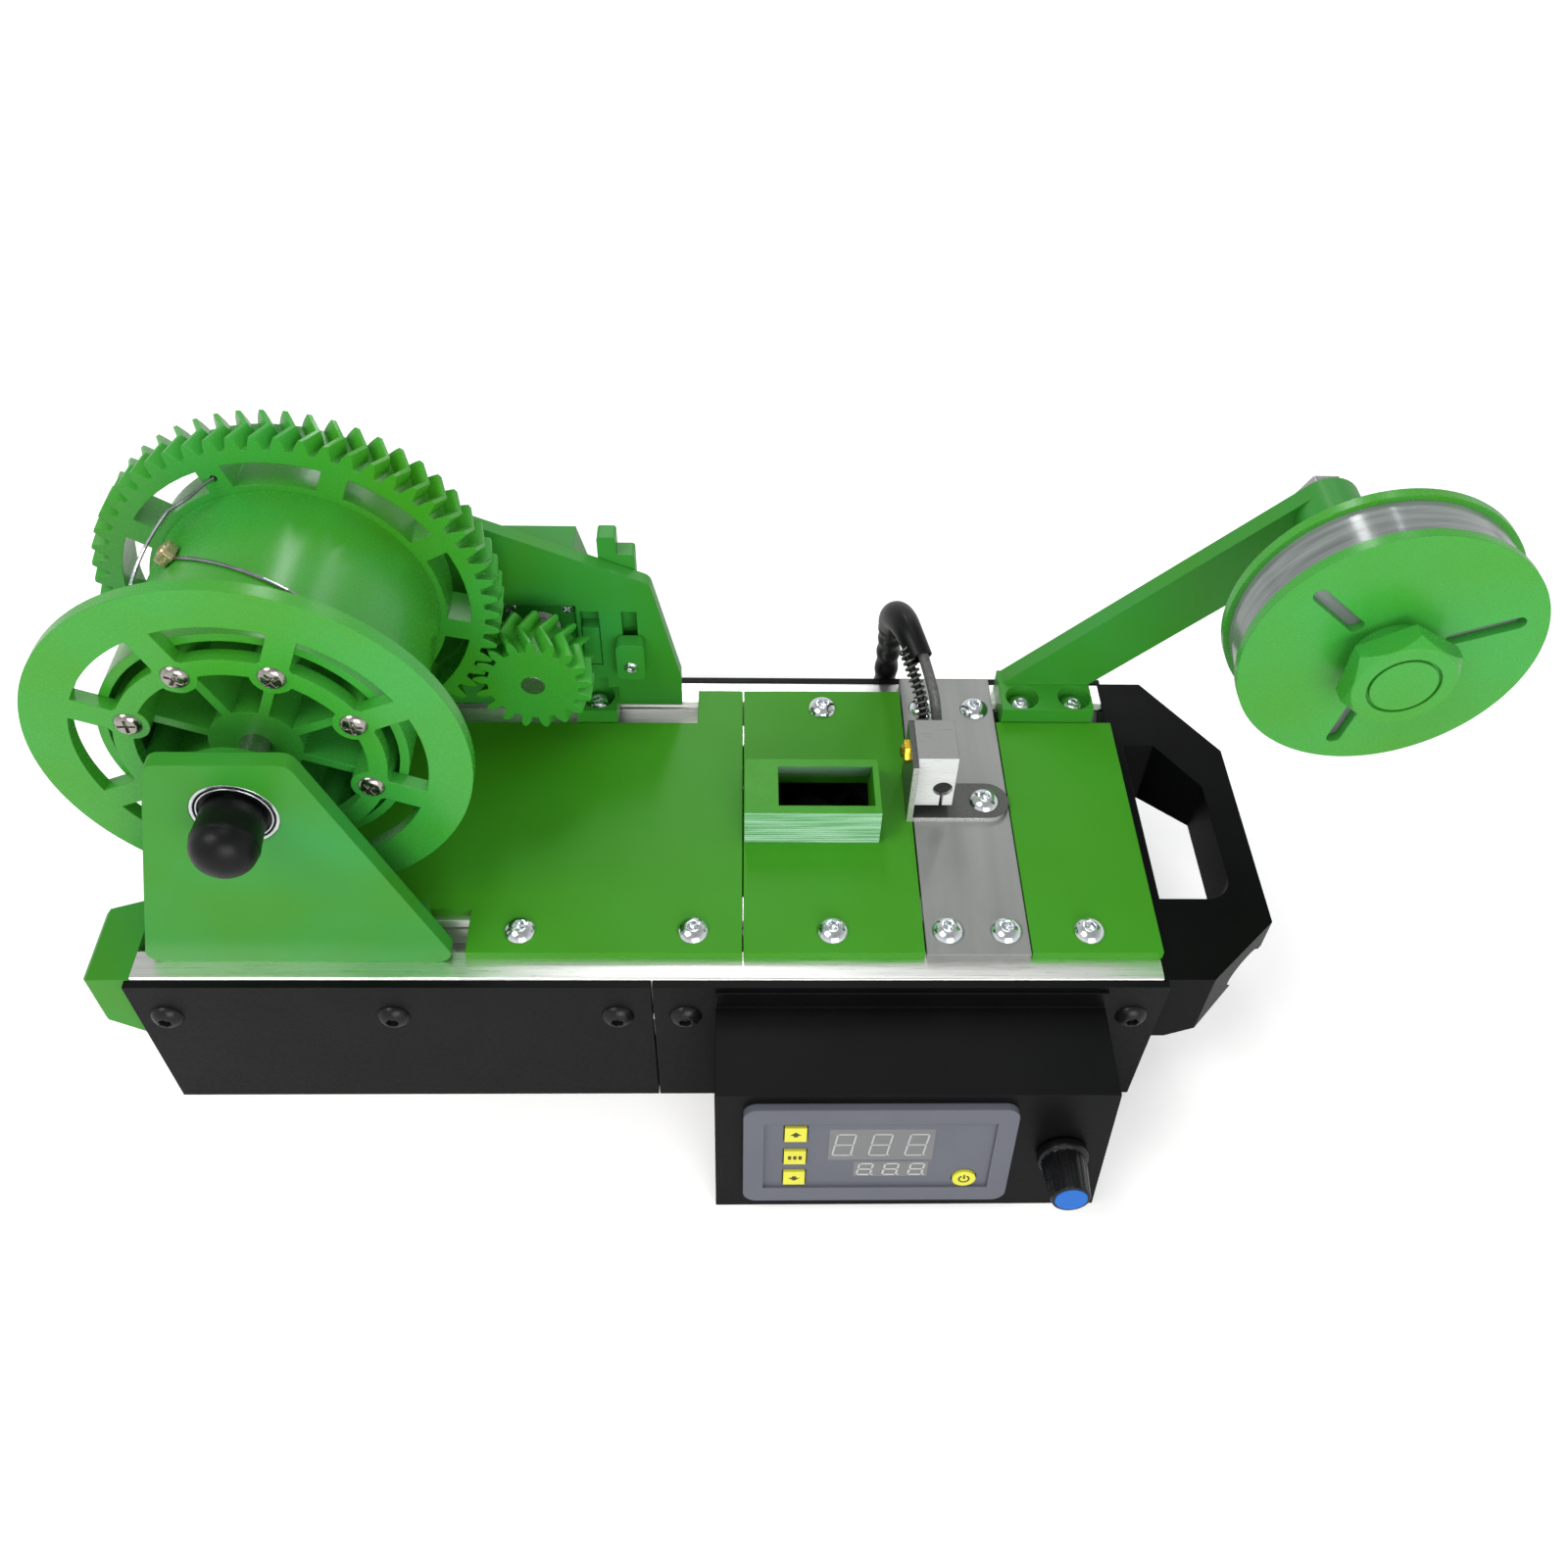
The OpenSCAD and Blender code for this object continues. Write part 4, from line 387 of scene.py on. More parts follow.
def polar(radius, angle, height):
    """A point at a radius and an angle about Z."""
    return Vector((radius * math.cos(angle), radius * math.sin(angle), height))


def quads(rows, columns, ring=False):
    """Faces between rows of points, each row closed round. In a ring, the last row meets the first."""
    faces = []
    for i in range(rows if ring else rows - 1):
        this, after = i * columns, (i + 1) % rows * columns
        for j in range(columns):
            k = (j + 1) % columns
            faces.append((this + j, this + k, after + k, after + j))
    return faces


def closed(rows, columns):
    """Faces between rows of points, with the first and the last row filled."""
    ends = [tuple(range(columns)), tuple(range((rows - 1) * columns, rows * columns))]
    return quads(rows, columns) + ends


def joined(parts):
    """Several sets of points and faces as one."""
    points, faces = [], []
    for p, f in parts:
        base = len(points)
        points += p
        faces += [tuple(base + i for i in face) for face in f]
    return points, faces


def turned_shape(profile, steps, at, wave=None):
    """A shape turned about Z from (radius, height) pairs. wave changes a radius by angle and height."""
    points = []
    for r, h in profile:
        points += [at @ polar(r + (wave(a, h) if wave else 0), a, h) for a in angles(steps)]
    return points, closed(len(profile), steps)


def ring_shape(profile, steps, at):
    """A ring turned about Z from a closed profile of (radius, height) pairs.

    A radius is a number, or a function of the angle.
    """
    points = []
    for r, h in profile:
        points += [at @ polar(r(a) if callable(r) else r, a, h) for a in angles(steps)]
    return points, quads(len(profile), steps, ring=True)


def flat_shape(outline, at, low, high):
    """A flat prism from an outline, between two heights over a placement."""
    n = len(outline)
    points = [at @ Vector((x, y, z)) for z in (low, high) for x, y in outline]
    return points, [tuple(range(n)), tuple(range(n, 2 * n))] + quads(2, n)


def rectangle(x0, y0, x1, y1):
    """The outline of a rectangle between two corners."""
    return [(x0, y0), (x1, y0), (x1, y1), (x0, y1)]


def smooth_path(points, steps=8):
    """A smooth curve through the points."""
    points = [Vector(p) for p in points]
    out = []
    for i in range(len(points) - 1):
        p0 = points[max(0, i - 1)]
        p1, p2 = points[i], points[i + 1]
        p3 = points[min(len(points) - 1, i + 2)]
        for k in range(steps):
            t = k / steps
            out.append(0.5 * (2 * p1 + (p2 - p0) * t + (2 * p0 - 5 * p1 + 4 * p2 - p3) * t * t
                              + (3 * p1 - p0 - 3 * p2 + p3) * t ** 3))
    return out + [points[-1]]


def frames_along(path):
    """A side and an up direction at each point of a path, turning as little as possible."""
    last = len(path) - 1
    ahead = [(path[min(i + 1, last)] - path[max(i - 1, 0)]).normalized() for i in range(len(path))]
    side = ahead[0].orthogonal().normalized()
    out = []
    for a in ahead:
        side = (side - a * side.dot(a)).normalized()
        out.append((side, a.cross(side)))
    return out


def sleeve_shape(path, sections, sides):
    """A closed shape round a path, from (number of a point, radius) pairs."""
    directions = frames_along(path)
    points = []
    for i, r in sections:
        side, up = directions[i]
        points += [path[i] + r * (math.cos(a) * side + math.sin(a) * up) for a in angles(sides)]
    return points, closed(len(sections), sides)


def tube(path, radius, sides):
    """A closed tube of one radius along a path."""
    return sleeve_shape(path, [(i, radius) for i in range(len(path))], sides)


def coil(path, radius, wire, turns, per_turn=20, sides=6):
    """A helix of round wire wound along a path."""
    lengths = [0]
    for a, b in zip(path, path[1:]):
        lengths.append(lengths[-1] + (b - a).length)
    directions = frames_along(path)
    centre = []
    k = 0
    for i in range(turns * per_turn + 1):
        want = lengths[-1] * i / (turns * per_turn)
        while k < len(path) - 2 and lengths[k + 1] < want:
            k += 1
        t = (want - lengths[k]) / max(TINY, lengths[k + 1] - lengths[k])
        p = path[k].lerp(path[k + 1], t)
        side = directions[k][0].lerp(directions[k + 1][0], t)
        up = directions[k][1].lerp(directions[k + 1][1], t)
        a = 2 * math.pi * i / per_turn
        centre.append(p + radius * (math.cos(a) * side + math.sin(a) * up))
    return tube(centre, wire, sides)


# Screw heads

DOME_LEAN = math.radians(74)  # slope of a dome at its foot
DOME_ROWS = 8
RIM_SHARE = 0.05  # width of the flat rim round a recess over the head's radius
FLOOR_SHARE = 0.86  # width of a recess's floor over that of its mouth
POINT_SHARE = 1.25  # depth of a recess's point over that of its floor
POINT_RADIUS = 0.05  # of a recess, over the head's radius


def hexagon(apothem):
    """Radius of a hexagon by angle, with a corner on X."""
    return lambda a: apothem / math.cos((a % (math.pi / 3)) - math.pi / 6)


def cross(half, reach):
    """Radius of a cross-shaped recess by angle."""
    def at_angle(a):
        c, q = abs(math.cos(a)) + TINY, abs(math.sin(a)) + TINY
        return max(min(reach / c, half / q), min(reach / q, half / c))
    return at_angle


def screw_head(at, r, h, depth, recess, shank=0.0, shank_r=0.0):
    """A domed head of radius r and height h on its seat, and its shank below.

    The recess is a radius by angle, and depth is how far it goes down.
    """
    around = angles(72)
    rim = max(recess(a) for a in around) + RIM_SHARE * r

    def dome(radius):
        tilt = math.asin(min(1, radius / r * math.sin(DOME_LEAN)))
        return h * (math.cos(tilt) - math.cos(DOME_LEAN)) / (1 - math.cos(DOME_LEAN))

    def round_row(radius, height):
        return [(radius, height)] * len(around)

    top = dome(rim)
    rows = [round_row(shank_r, -shank), round_row(shank_r, 0)] if shank else []
    for i in range(DOME_ROWS + 1):
        radius = r + (rim - r) * i / DOME_ROWS
        rows.append(round_row(radius, dome(radius)))
    rows.append([(recess(a), top) for a in around])
    rows.append([(recess(a) * FLOOR_SHARE, top - depth) for a in around])
    rows.append(round_row(r * POINT_RADIUS, top - depth * POINT_SHARE))
    points = [at @ polar(k, a, z) for row in rows for a, (k, z) in zip(around, row)]
    return points, closed(len(rows), len(around))


def heads(name, node, spots, material):
    """Detailed heads that stand for the plain screws of a node. A spot is (place, axis, turn, form)."""
    parts = []
    for place, axis, turn, form in spots:
        seat = basis(place, axis, RIGHT if axis == UP else UP)
        parts.append(screw_head(seat @ Matrix.Rotation(math.radians(turn), 4, "Z"), **form))
    points, faces = joined(parts)
    obj = piece(name, points, faces, material, body_of_node(node), sharp=35)
    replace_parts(obj, node)


# Screws

# The forms of the screws: head, recess and shank.
DECK_FORM = dict(r=4.75, h=2.75, depth=1.5, recess=hexagon(1.5), shank=9, shank_r=2.4)
ANGLE_FORM = dict(DECK_FORM, shank=4.8)
FOOT_FORM = dict(DECK_FORM, shank=10)
SKIRT_FORM = dict(DECK_FORM, depth=1.6, recess=hexagon(1.7), shank=8)
MOTOR_FORM = dict(r=2.32, h=1.4, depth=0.8, recess=cross(0.32, 1.5), shank=2.2, shank_r=1.4)
FLANGE_FORM = dict(r=3.6, h=1.8, depth=1.1, recess=cross(0.42, 2.3), shank=14, shank_r=1.4)
CLAMP_FORM = dict(r=2.3, h=0.9, depth=1.1, recess=hexagon(1.15))

DRUM = pivot("drum_spin")
MOTOR = pivot("pinion_spin")
FRONT_LINE, REAR_LINE = middle("front_rail").y, middle("rear_rail").y
RAIL_MIDDLE = middle("front_rail").z
RAIL_TOP = corners("front_rail")[1].z
DECK_TOP = corners("deck_left")[1].z
FRONT_FACE, REAR_FACE = corners("front_skirt_left")[0].y, corners("rear_skirt")[1].y
FOOT = 4  # thickness of a bracket's foot on the rail


def deck_screws():
    """Socket heads in the rails' slots along the deck, and the one in the foot of the hot end's angle."""
    spots = [(-38.4, FRONT_LINE), (11.2, FRONT_LINE), (51.5, FRONT_LINE), (51.5, REAR_LINE),
             (126.1, FRONT_LINE), (84.9, FRONT_LINE), (84.9, REAR_LINE), (101.9, FRONT_LINE),
             (101.9, REAR_LINE)]
    angle_screw = (100.5, 3.15, 64.8)
    heads("deck_screw_heads", "deck_screws",
          [((x, y, DECK_TOP), UP, 17 * i, DECK_FORM) for i, (x, y) in enumerate(spots)]
          + [(angle_screw, UP, 40, ANGLE_FORM)], zinc)


def skirt_screws():
    """Black socket heads along both skirts."""
    columns = (-138.9, -74.65, -10.4, 9.1, 138.9)
    heads("skirt_screw_heads", "skirt_screws",
          [((x, y, RAIL_MIDDLE), axis, 23 * i, SKIRT_FORM)
           for y, axis in ((FRONT_FACE, FRONT), (REAR_FACE, BACK))
           for i, x in enumerate(columns)], blackened)


def bracket_screws():
    """Socket heads in the brackets' feet, and the four small screws that hold the motor."""
    spots = [(-129.1, FRONT_LINE), (-71.1, FRONT_LINE), (-129.1, REAR_LINE), (-21.9, REAR_LINE),
             (117.3, REAR_LINE), (134.5, REAR_LINE)]
    motor_face, aside, above = 51.5, 9, 8
    motor_spots = [(MOTOR.x + x, motor_face, MOTOR.z + z)
                   for x in (-aside, aside) for z in (-above, above)]
    heads("bracket_screw_heads", "bracket_screws",
          [((x, y, RAIL_TOP + FOOT), UP, 29 * i, FOOT_FORM) for i, (x, y) in enumerate(spots)]
          + [(spot, FRONT, 45, MOTOR_FORM) for spot in motor_spots], zinc)


def flange_screws():
    """Eight cross-recessed screws round the drum's flange."""
    count, circle, first = 8, 30.5, 22.5
    face = corners("drum_flange")[0].y
    spots = []
    for k in range(count):
        a = math.radians(first + 360 / count * k)
        place = DRUM + Vector((circle * math.cos(a), face, circle * math.sin(a)))
        spots.append((place, FRONT, 30 * k, FLANGE_FORM))
    heads("flange_screw_heads", "flange_screws", spots, nickel)


def clamp_screw():
    """The small socket screw in the front block of the clamp."""
    low, high = corners("clamp_block")
    above_foot = 5.5
    at = basis(((low.x + high.x) / 2, low.y, low.z + above_foot), FRONT, UP)
    points, faces = screw_head(at, **CLAMP_FORM)
    piece("clamp_screw_head", points, faces, zinc, "clamp", sharp=35)


deck_screws()
skirt_screws()
bracket_screws()
flange_screws()
clamp_screw()


# Bearings

BEARING_WIDTH = 7
# Each race is (inner radius, outer radius, chamfer, steps): the outer one, its step, and the inner one.
RACES = [(10.05, 10.98, 0.15, 96), (9.05, 9.5, 0.1, 96), (4.15, 5.8, 0.2, 72)]
# Each shield is (inner radius, outer radius, how far it lies below the bearing's face).
SHIELDS = [(9.5, 10.05, 1.4), (5.8, 9.05, 0.7)]


def race(inner, outer, edge):
    """The profile of a ring with chamfered edges."""
    wide = BEARING_WIDTH
    return [(inner, edge), (inner + edge, 0), (outer - edge, 0), (outer, edge),
            (outer, wide - edge), (outer - edge, wide), (inner + edge, wide), (inner, wide - edge)]


def bearings():
    """Both bearings of the drum: steel rings, and dark shields a little lower between them."""
    low, high = corners("drum_bearings")
    races, shields = [], []
    for y in (low.y, high.y - BEARING_WIDTH):
        at = basis((DRUM.x, y, DRUM.z), BACK, RIGHT)
        for inner, outer, edge, steps in RACES:
            races.append(ring_shape(race(inner, outer, edge), steps, at))
        for inner, outer, sunk in SHIELDS:
            shields.append(ring_shape(rectangle(inner, sunk, outer, BEARING_WIDTH - sunk), 72, at))
    points, faces = joined(races)
    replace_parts(piece("bearing_races", points, faces, zinc, "frame"), "drum_bearings")
    points, faces = joined(shields)
    piece("bearing_shields", points, faces, black_soft, "frame")


bearings()


# Axle caps

def caps():
    """The rubber caps of the axle: a sleeve that widens, a fold, and a dome."""
    bore, radius, fold, height, gap = 4.1, 8.3, 10.3, 17, 0.6
    rise = [math.pi / 2 * i / 12 for i in range(1, 12)]
    profile = [(bore, 9), (bore, 0), (7.9, 0), (8.05, 0.3), (8.2, 4), (8.5, 8.6), (8.6, 9.2), (8.5, 9.7),
               (8.35, 10), (8.33, fold)]
    profile += [(radius * math.cos(t), fold + (height - fold) * math.sin(t)) for t in rise]
    profile.append((0.3, height))
    ends = [(corners("front_bracket")[0].y - gap, FRONT), (corners("rear_bracket")[1].y + gap, BACK)]
    points, faces = joined([turned_shape(profile, 64, basis((DRUM.x, y, DRUM.z), axis, RIGHT))
                            for y, axis in ends])
    cap = piece("rubber_caps", points, faces, black_soft, "drum", sharp=50)
    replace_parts(cap, "axle_caps")


caps()


# Nozzle

NOZZLE = (75.8, 6.7, 83.5)  # the end of the thread, clear of the heater block
HEX_HEIGHT = 1.7  # from the end of the thread to the end of the hexagon
TIP_HEIGHT = 2.8  # from the end of the thread to the tip


def short_nozzle():
    """The brass nozzle: threaded shank, hexagon and a short tip, with its bore."""
    at = basis(NOZZLE, (-1, 0, 0), UP)
    bore, shank, shank_end = 0.9, 2.9, -13.8
    flats = hexagon(3.2)

    def hexagonal(a):
        return flats(a + math.pi / 6)

    profile = [(bore, shank_end), (shank, shank_end), (shank, 0), (hexagonal, 0), (hexagonal, HEX_HEIGHT),
               (3.0, 1.95), (2.1, 2.05), (1.5, TIP_HEIGHT), (bore, TIP_HEIGHT)]
    points, faces = ring_shape(profile, 48, at)
    nozzle = piece("short_nozzle", points, faces, brass, "frame", sharp=30)
    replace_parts(nozzle, "nozzle")


short_nozzle()
# Painted shade: the tip is coloured dark brown for the shadow it lies in.
over(brass, "Object", "X", (NOZZLE[0] - HEX_HEIGHT) * MM, (NOZZLE[0] - TIP_HEIGHT) * MM,
     (0.10, 0.05, 0.012))


# Wire clip

def clip():
    """A small screw terminal on the barrel, with its ferrules and screw."""
    turn = math.radians(128)
    out = Vector((math.cos(turn), 0, math.sin(turn)))
    along = Vector((out.z, 0, -out.x))
    from_axis, aside, behind = 39, 3, 5.8
    at = basis(DRUM + from_axis * out + aside * along + Vector((0, behind, 0)), out, along)
    half_wide, half_long, foot, top = 2.6, 3.1, 0.25, 3.1

    def squared(value):
        return math.copysign(abs(value) ** 0.5, value)

    outline = [(half_wide * squared(math.cos(a)), half_long * squared(math.sin(a))) for a in angles(32)]
    ferrule = [(-1.4, 2.4), (1.4, 2.4), (0.9, 4.4), (-0.9, 4.4)]
    parts = [flat_shape(outline, at, foot, top)]
    for way in (1, -1):
        parts.append(flat_shape([(x, way * y) for x, y in ferrule], at, 1.3, 1.9))
    screw = at @ Matrix.Translation((0, 0, top))
    parts.append(screw_head(screw, r=1.7, h=0.9, depth=0.6, recess=cross(0.28, 1.1)))
    points, faces = joined(parts)
    terminal = piece("terminal_clip", points, faces, pale_brass, "drum", sharp=35)
    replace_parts(terminal, "wire_clip")


clip()


# Front of the control box

BOX_EDGE = 51  # height of the upper edge of the sloping front
BOX_SET_BACK = 7.6  # how far that edge lies behind the foot
BOX_LOW = corners("control_box")[0]
BOX = Vector((BOX_LOW.x, BOX_LOW.y + BOX_SET_BACK, BOX_EDGE))
LEAN = math.atan2(BOX_SET_BACK, BOX_EDGE)
OUT = Vector((0, -math.cos(LEAN), math.sin(LEAN)))
DOWN = Vector((0, -math.sin(LEAN), -math.cos(LEAN)))


def on_face(across, down, out=0.0):
    """A placement on the sloping front, from its upper left corner."""
    return basis(BOX + Vector((across, 0, 0)) + DOWN * down + OUT * out, OUT, RIGHT)


# Knob

def knob():
    """The tapered knob with its skirt and fine flutes."""
    count, fluting, low, high = 18, 0.16, 3.3, 14.9

    def flutes(a, h):
        if low < h < high:
            return -fluting * (0.5 + 0.5 * math.cos(count * a)) ** 3
        return 0.0

    grip, taper, foot, length = 6.5, 0.9, 3.4, 11.4
    profile = [(6.9, 0), (7.3, 0.3), (7.4, 1.0), (7.4, 2.4), (7.15, 2.9), (6.6, 3.1), (grip, low)]
    profile += [(grip - taper * t, foot + length * t) for t in (0, 0.02, 0.25, 0.5, 0.75, 0.98, 1)]
    profile += [(5.55, 15.0), (5.4, 15.35), (5.1, 15.5), (4.75, 15.5), (4.62, 15.4), (4.6, 14.4)]
    points, faces = turned_shape(profile, 144, on_face(across=99, down=25.5, out=0.6), flutes)
    obj = piece("knob_body", points, faces, knob_black, "knob")
    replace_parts(obj, "control_knob")


knob()


# Digits

CONTROLLER = on_face(across=46.2, down=24.6)
# The seven bars of a digit, in shares of its width and height.
BARS = [(0, 1, 1, 1), (1, 1, 1, 0.5), (1, 0.5, 1, 0), (0, 0, 1, 0), (0, 0.5, 0, 0), (0, 1, 0, 0.5),
        (0, 0.5, 1, 0.5)]
DIGITS = 3  # in each row
DIGIT_LEAN = 0.13  # sideways for each millimetre up
DIGIT_FOOT, DIGIT_TOP = 1.35, 1.43  # heights over the box's face
BAR_GAP = 0.2  # from a bar's end to its corner, in thicknesses
DOT_SHIFT, DOT_RADIUS = 0.9, 0.55  # in thicknesses


def bar_outline(x0, y0, x1, y1, thick):
    """The outline of one bar with pointed ends."""
    a, b = Vector((x0, y0)), Vector((x1, y1))
    d = (b - a).normalized()
    n = Vector((-d.y, d.x)) * thick / 2
    a, b = a + d * thick * BAR_GAP, b - d * thick * BAR_GAP
    tip = d * thick / 2
    return [a, a + tip + n, b - tip + n, b, b - tip - n, a + tip - n]


def digits(name, left, foot, wide, high, step, thick):
    """A row of unlit eights with points, drawn on the display window."""
    parts = []
    for i in range(DIGITS):
        start = left + i * step
        for x0, y0, x1, y1 in BARS:
            bar = bar_outline(x0 * wide, y0 * high, x1 * wide, y1 * high, thick)
            leaning = [(start + p.x + DIGIT_LEAN * p.y, foot + p.y) for p in bar]
            parts.append(flat_shape(leaning, CONTROLLER, DIGIT_FOOT, DIGIT_TOP))
        dot = [(start + wide + thick * (DOT_SHIFT + DOT_RADIUS * math.cos(a)),
                foot + thick * DOT_RADIUS * math.sin(a)) for a in angles(12)]
        parts.append(flat_shape(dot, CONTROLLER, DIGIT_FOOT, DIGIT_TOP))
    points, faces = joined(parts)
    piece(name, points, faces, digit_white, "frame", sharp=30)


digits("big_digits", left=-13.0, foot=-0.6, wide=5.2, high=9.6, step=10.3, thick=0.5)
digits("small_digits", left=-5.6, foot=-9.9, wide=3.9, high=5.2, step=7.4, thick=0.62)


# Signs on the buttons

SIGN_FOOT, SIGN_TOP = 2.05, 2.16  # heights over the box's face
LEFT_COLUMN = -23.6  # of the three buttons, from the controller's centre
UP_ROW, SET_ROW, DOWN_ROW = 9.8, -0.8, -10.6
POWER = (25.6, -11.3)


def sign(button, outlines):
    """A flat sign on a button, from outlines about the controller's centre."""
    points, faces = joined([flat_shape(outline, CONTROLLER, SIGN_FOOT, SIGN_TOP) for outline in outlines])
    piece(button + "_sign", points, faces, icon_dark, button, sharp=30)


def arrow(row, way):
    """The outline of an arrow in the left column. way is 1 for up and -1 for down."""
    points = [(-1.6, -0.2), (0, 1.2), (1.6, -0.2), (0.6, -0.2), (0.6, -0.9), (-0.6, -0.9), (-0.6, -0.2)]
    return [(LEFT_COLUMN + x, row + way * y) for x, y in points]


def set_bars():
    """Three upright bars in the left column."""
    step, half_wide, half_high = 1.5, 0.45, 0.8
    middles = [LEFT_COLUMN + step * k for k in (-1, 0, 1)]
    return [rectangle(x - half_wide, SET_ROW - half_high, x + half_wide, SET_ROW + half_high)
            for x in middles]


def power_sign():
    """An open ring with a bar in its gap."""
    outer, inner, start, sweep, steps = 1.7, 1.2, 120, 300, 20
    half_wide, high = 0.25, 1.9
    x, y = POWER
    arc = [math.radians(start + sweep * k / steps) for k in range(steps + 1)]
    outlines = [[(x + r * math.cos(t), y + r * math.sin(t))
                 for r, t in ((outer, a), (outer, b), (inner, b), (inner, a))]
                for a, b in zip(arc, arc[1:])]
    return outlines + [rectangle(x - half_wide, y, x + half_wide, y + high)]


sign("button_up", [arrow(UP_ROW, 1)])
sign("button_down", [arrow(DOWN_ROW, -1)])
sign("button_set", set_bars())
sign("button_power", power_sign())


# Heater lead

# The boot's route is the one of the solid that it replaces.
BOOT = [(79.8, 33, 97.3), (76.9, 40.4, 100.3), (75.3, 46.8, 99.7), (74, 53.2, 96.4), (73.5, 58.6, 89.6),
        (74.2, 63.2, 80), (74.4, 66.2, 68), (74.5, 67.8, 54), (74.4, 69, 42), (74.3, 69.5, 34),
        (74.3, 69.5, 27.5), (74.3, 68.8, 24.8), (74.3, 66.8, 22.7), (74.3, 64, 22), (74.3, 59, 22)]
SLEEVE = [(86, 15.7, 75.25), (86, 17.7, 75.25), (85.8, 20, 78.5), (85.2, 22.2, 84), (83.8, 26.1, 90.6),
          (80.7, 33.4, 97.8), (79.2, 36.5, 99.6)]
SPRING = [(81, 15, 75.4), (81, 17, 75.8), (81.1, 19.6, 79), (80.9, 21.8, 84.2), (79.6, 25.3, 90.1),
          (76.4, 32.3, 96.8), (75.1, 35.2, 98.7)]
SLEEVE_RADIUS = 1.65
SPRING_RADIUS, SPRING_WIRE, SPRING_TURNS, CORE_RADIUS = 1.82, 0.40, 18, 1.2


def sleeve():
    """The smooth sleeve over the lead."""
    points, faces = tube(smooth_path(SLEEVE), SLEEVE_RADIUS, 20)
    obj = piece("lead_sleeve", points, faces, sleeve_grey, "frame")
    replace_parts(obj, "heater_lead")


def spring():
    """The spring beside the sleeve, round its core."""
    path = smooth_path(SPRING)
    points, faces = coil(path, SPRING_RADIUS, SPRING_WIRE, SPRING_TURNS)
    piece("lead_spring", points, faces, spring_dark, "frame")
    points, faces = tube(path, CORE_RADIUS, 12)
    piece("spring_core", points, faces, black_soft, "frame")


def boot():
    """The rubber boot: open at its mouth, ribbed on its way down, and closed in the rear skirt."""
    path = smooth_path(BOOT, 14)
    last = len(path) - 1
    radius, wall, mouth = 3.75, 0.8, 14
    swelling, swollen_at, spread = 1.1, 0.19, 0.13
    rib, ribs, ribs_start, ribs_stop = 0.25, 22, 0.3, 0.68

    def girth(i):
        """Radius at a point of the path. Places along it are shares of its points."""
        t = i / last
        swell = swelling * math.exp(-((t - swollen_at) / spread) ** 2)
        ripple = rib * math.sin(2 * math.pi * ribs * t) if ribs_start < t < ribs_stop else 0
        return radius + swell + ripple

    inside = [(i, girth(i) - wall) for i in range(mouth, -1, -1)]
    outside = [(i, girth(i)) for i in range(last + 1)]
    points, faces = sleeve_shape(path, inside + outside, 32)
    obj = piece("boot_shell", points, faces, black_soft, "frame", sharp=60)
    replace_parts(obj, "lead_boot")


sleeve()
spring()
boot()


# Camera

def camera_matrix(place, elevation, yaw, roll):
    """Matrix of a camera that looks down by elevation and turns right by yaw, all in degrees."""
    e, y, r = (math.radians(v) for v in (elevation, yaw, roll))
    ahead = Vector((math.sin(y) * math.cos(e), math.cos(y) * math.cos(e), -math.sin(e)))
    right = Vector((math.cos(y), -math.sin(y), 0))
    down = ahead.cross(right)
    right, down = math.cos(r) * right + math.sin(r) * down, math.cos(r) * down - math.sin(r) * right
    turn = Matrix((right, -down, -ahead)).transposed()
    return Matrix.Translation(place) @ turn.to_4x4()


camera = bpy.data.cameras.new("camera")
camera.sensor_width = 36
camera.lens = 32.416
camera.clip_start = 0.01
camera_object = bpy.data.objects.new("camera", camera)
camera_object.matrix_world = camera_matrix(place=Vector((0.0249, -0.28284, 0.39598)), elevation=48.51,
                                           yaw=2.62, roll=-2.19)
scene.collection.objects.link(camera_object)
scene.camera = camera_object


# Floor, world and lamps

FLOOR_HALF = 3  # metres from the middle to an edge
FLOOR_TONE = 0.88
FLOOR_LIFT = 0.34  # light added where the camera sees the floor
# The height of a direction, 0 at the horizon and 1 overhead, and the strength of the light from there.
LOW_SKY, HIGH_SKY = (0.05, 0.95), (0.75, 0.42)


def floor():
    """A pale floor that keeps the shadow and is seen as white away from it."""
    mesh = bpy.data.meshes.new("floor")
    outline = rectangle(-FLOOR_HALF, -FLOOR_HALF, FLOOR_HALF, FLOOR_HALF)
    mesh.from_pydata([(x, y, 0) for x, y in outline], [], [(0, 1, 2, 3)])
    obj = bpy.data.objects.new("floor", mesh)
    scene.collection.objects.link(obj)
    material, tree, shader = new_material("floor_white")
    shader.inputs["Base Color"].default_value = grey(FLOOR_TONE)
    shader.inputs["Roughness"].default_value = 0.8
    shader.inputs["Specular IOR Level"].default_value = 0.1
    shader.inputs["Emission Color"].default_value = grey(1)
    light_path = tree.nodes.new("ShaderNodeLightPath")
    lift = tree.nodes.new("ShaderNodeMath")
    lift.operation = "MULTIPLY"
    lift.inputs[1].default_value = FLOOR_LIFT
    tree.links.new(light_path.outputs["Is Camera Ray"], lift.inputs[0])
    tree.links.new(lift.outputs["Value"], shader.inputs["Emission Strength"])
    mesh.materials.append(material)


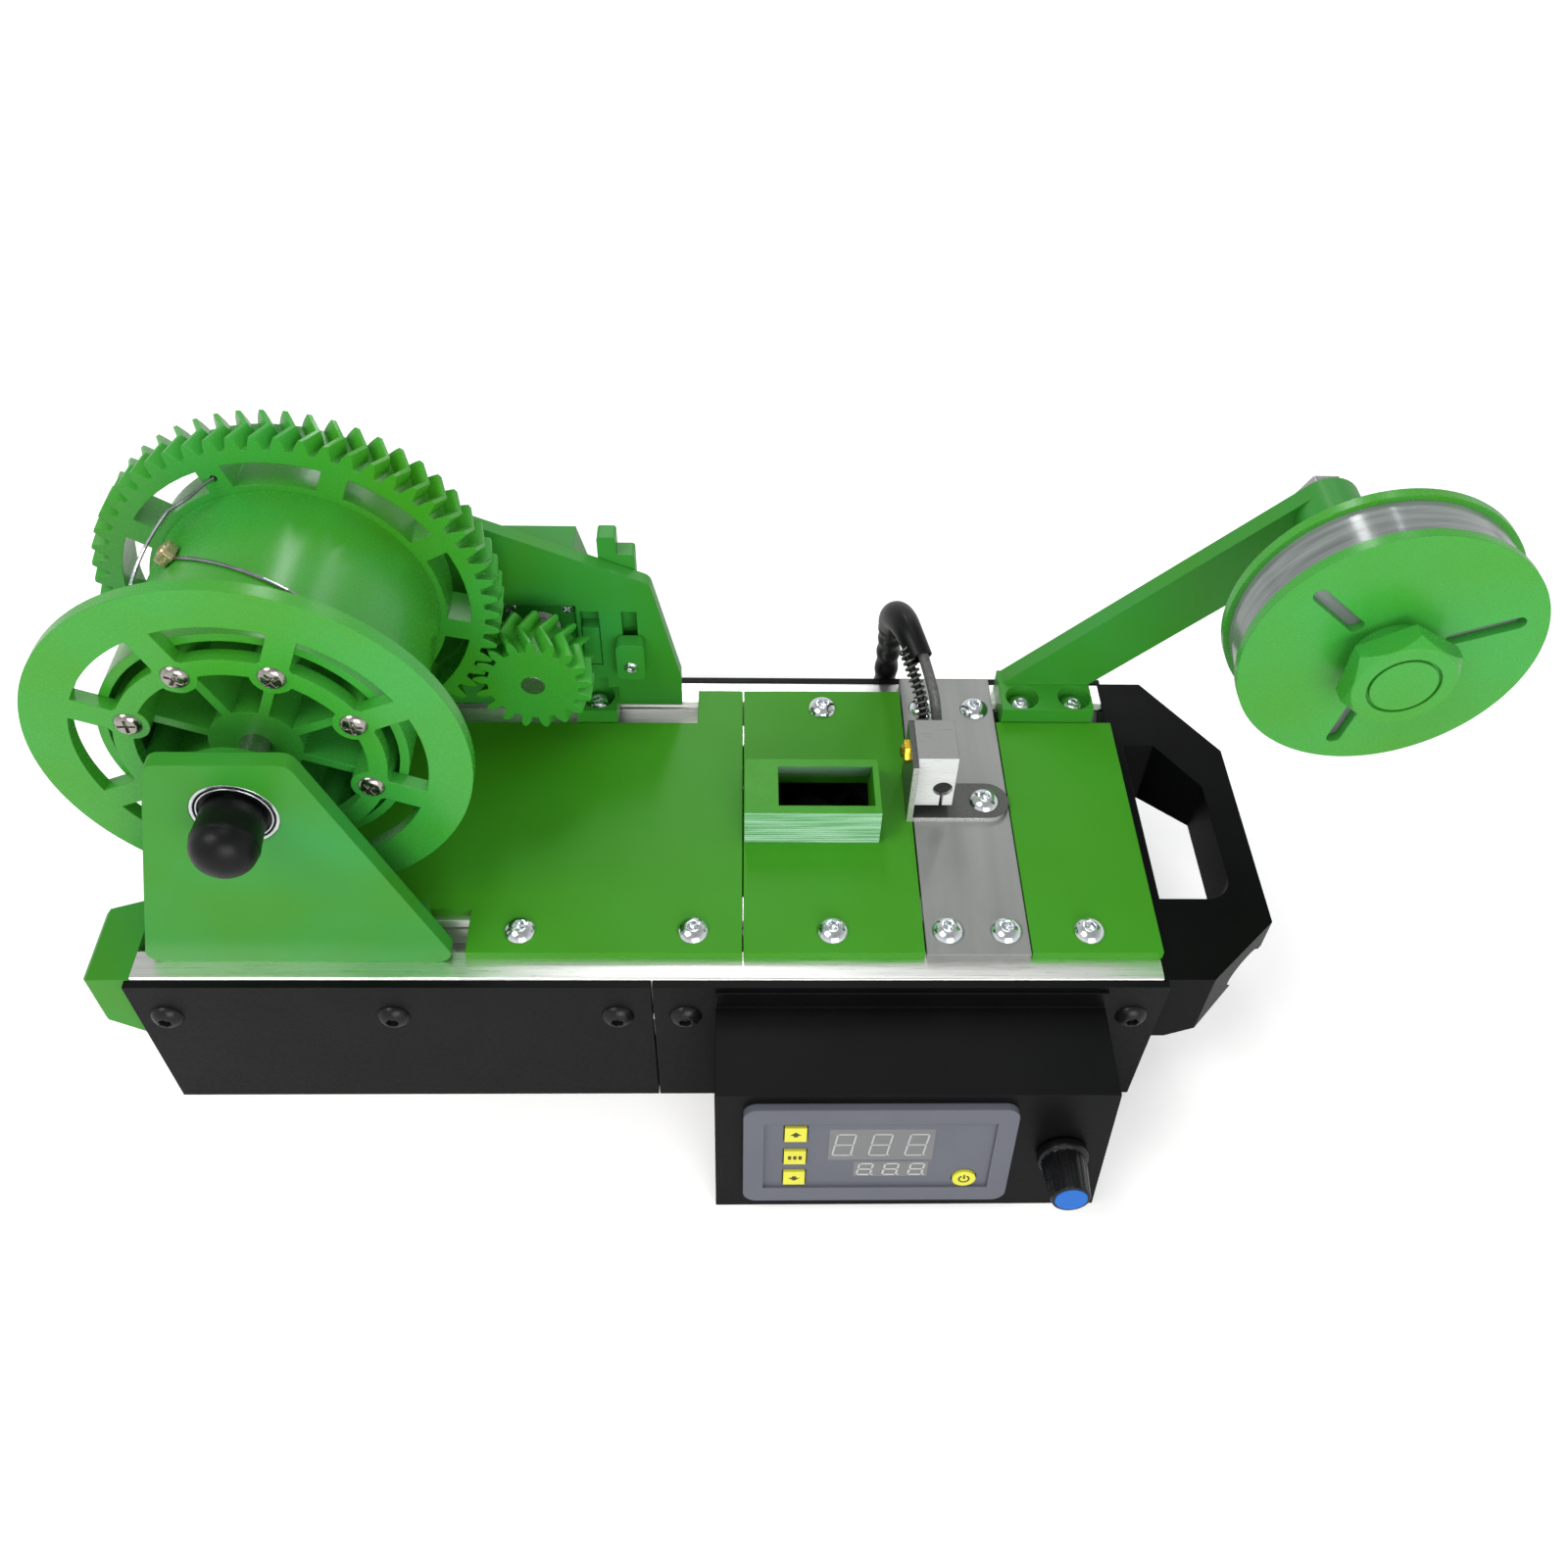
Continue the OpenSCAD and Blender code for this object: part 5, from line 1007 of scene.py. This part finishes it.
def world():
    """Soft light, stronger near the horizon than overhead, and white where the camera sees it."""
    back = bpy.data.worlds.new("world")
    back.use_nodes = True
    tree = back.node_tree
    background = tree.nodes["Background"]
    background.inputs["Color"].default_value = grey(1)
    where = tree.nodes.new("ShaderNodeTexCoord")
    axes = tree.nodes.new("ShaderNodeSeparateXYZ")
    tree.links.new(where.outputs["Generated"], axes.inputs["Vector"])
    sky = tree.nodes.new("ShaderNodeMapRange")
    for end, (height, strength) in (("Min", LOW_SKY), ("Max", HIGH_SKY)):
        sky.inputs["From " + end].default_value = height
        sky.inputs["To " + end].default_value = strength
    tree.links.new(axes.outputs["Z"], sky.inputs["Value"])
    light_path = tree.nodes.new("ShaderNodeLightPath")
    seen = tree.nodes.new("ShaderNodeMath")
    seen.operation = "MAXIMUM"
    tree.links.new(sky.outputs["Result"], seen.inputs[0])
    tree.links.new(light_path.outputs["Is Camera Ray"], seen.inputs[1])
    tree.links.new(seen.outputs["Value"], background.inputs["Strength"])
    scene.world = back


def lamp(name, place, target, size, energy, colour=(1, 1, 1)):
    """A soft rectangular lamp that points at a target."""
    data = bpy.data.lights.new(name, "AREA")
    data.shape = "RECTANGLE"
    data.size, data.size_y = size
    data.energy = energy
    data.color = colour
    obj = bpy.data.objects.new(name, data)
    obj.location = place
    obj.rotation_euler = (Vector(target) - Vector(place)).to_track_quat("-Z", "Y").to_euler()
    scene.collection.objects.link(obj)


floor()
world()
lamp("key", place=(-0.7, -0.45, 1.25), target=(0, 0, 0.05), size=(0.7, 0.7), energy=8.2,
     colour=(1, 0.98, 0.95))
lamp("front", place=(0.35, -1.25, 0.55), target=(0, 0, 0.08), size=(0.9, 0.7), energy=8.5)
lamp("top", place=(0.1, 0.25, 1.4), target=(0, 0, 0.1), size=(0.6, 0.6), energy=1.5)
# Two narrow lamps behind draw the bright bands along the drum's barrel.
lamp("window", place=(-0.03, 0.82, 0.89), target=(-0.09, 0, 0.15), size=(0.11, 0.4), energy=1.5,
     colour=(0.96, 0.98, 1))
lamp("slit", place=(0.39, 0.84, 0.71), target=(-0.08, 0, 0.15), size=(0.04, 0.4), energy=0.5,
     colour=(0.96, 0.98, 1))

scene.view_settings.view_transform = "Standard"
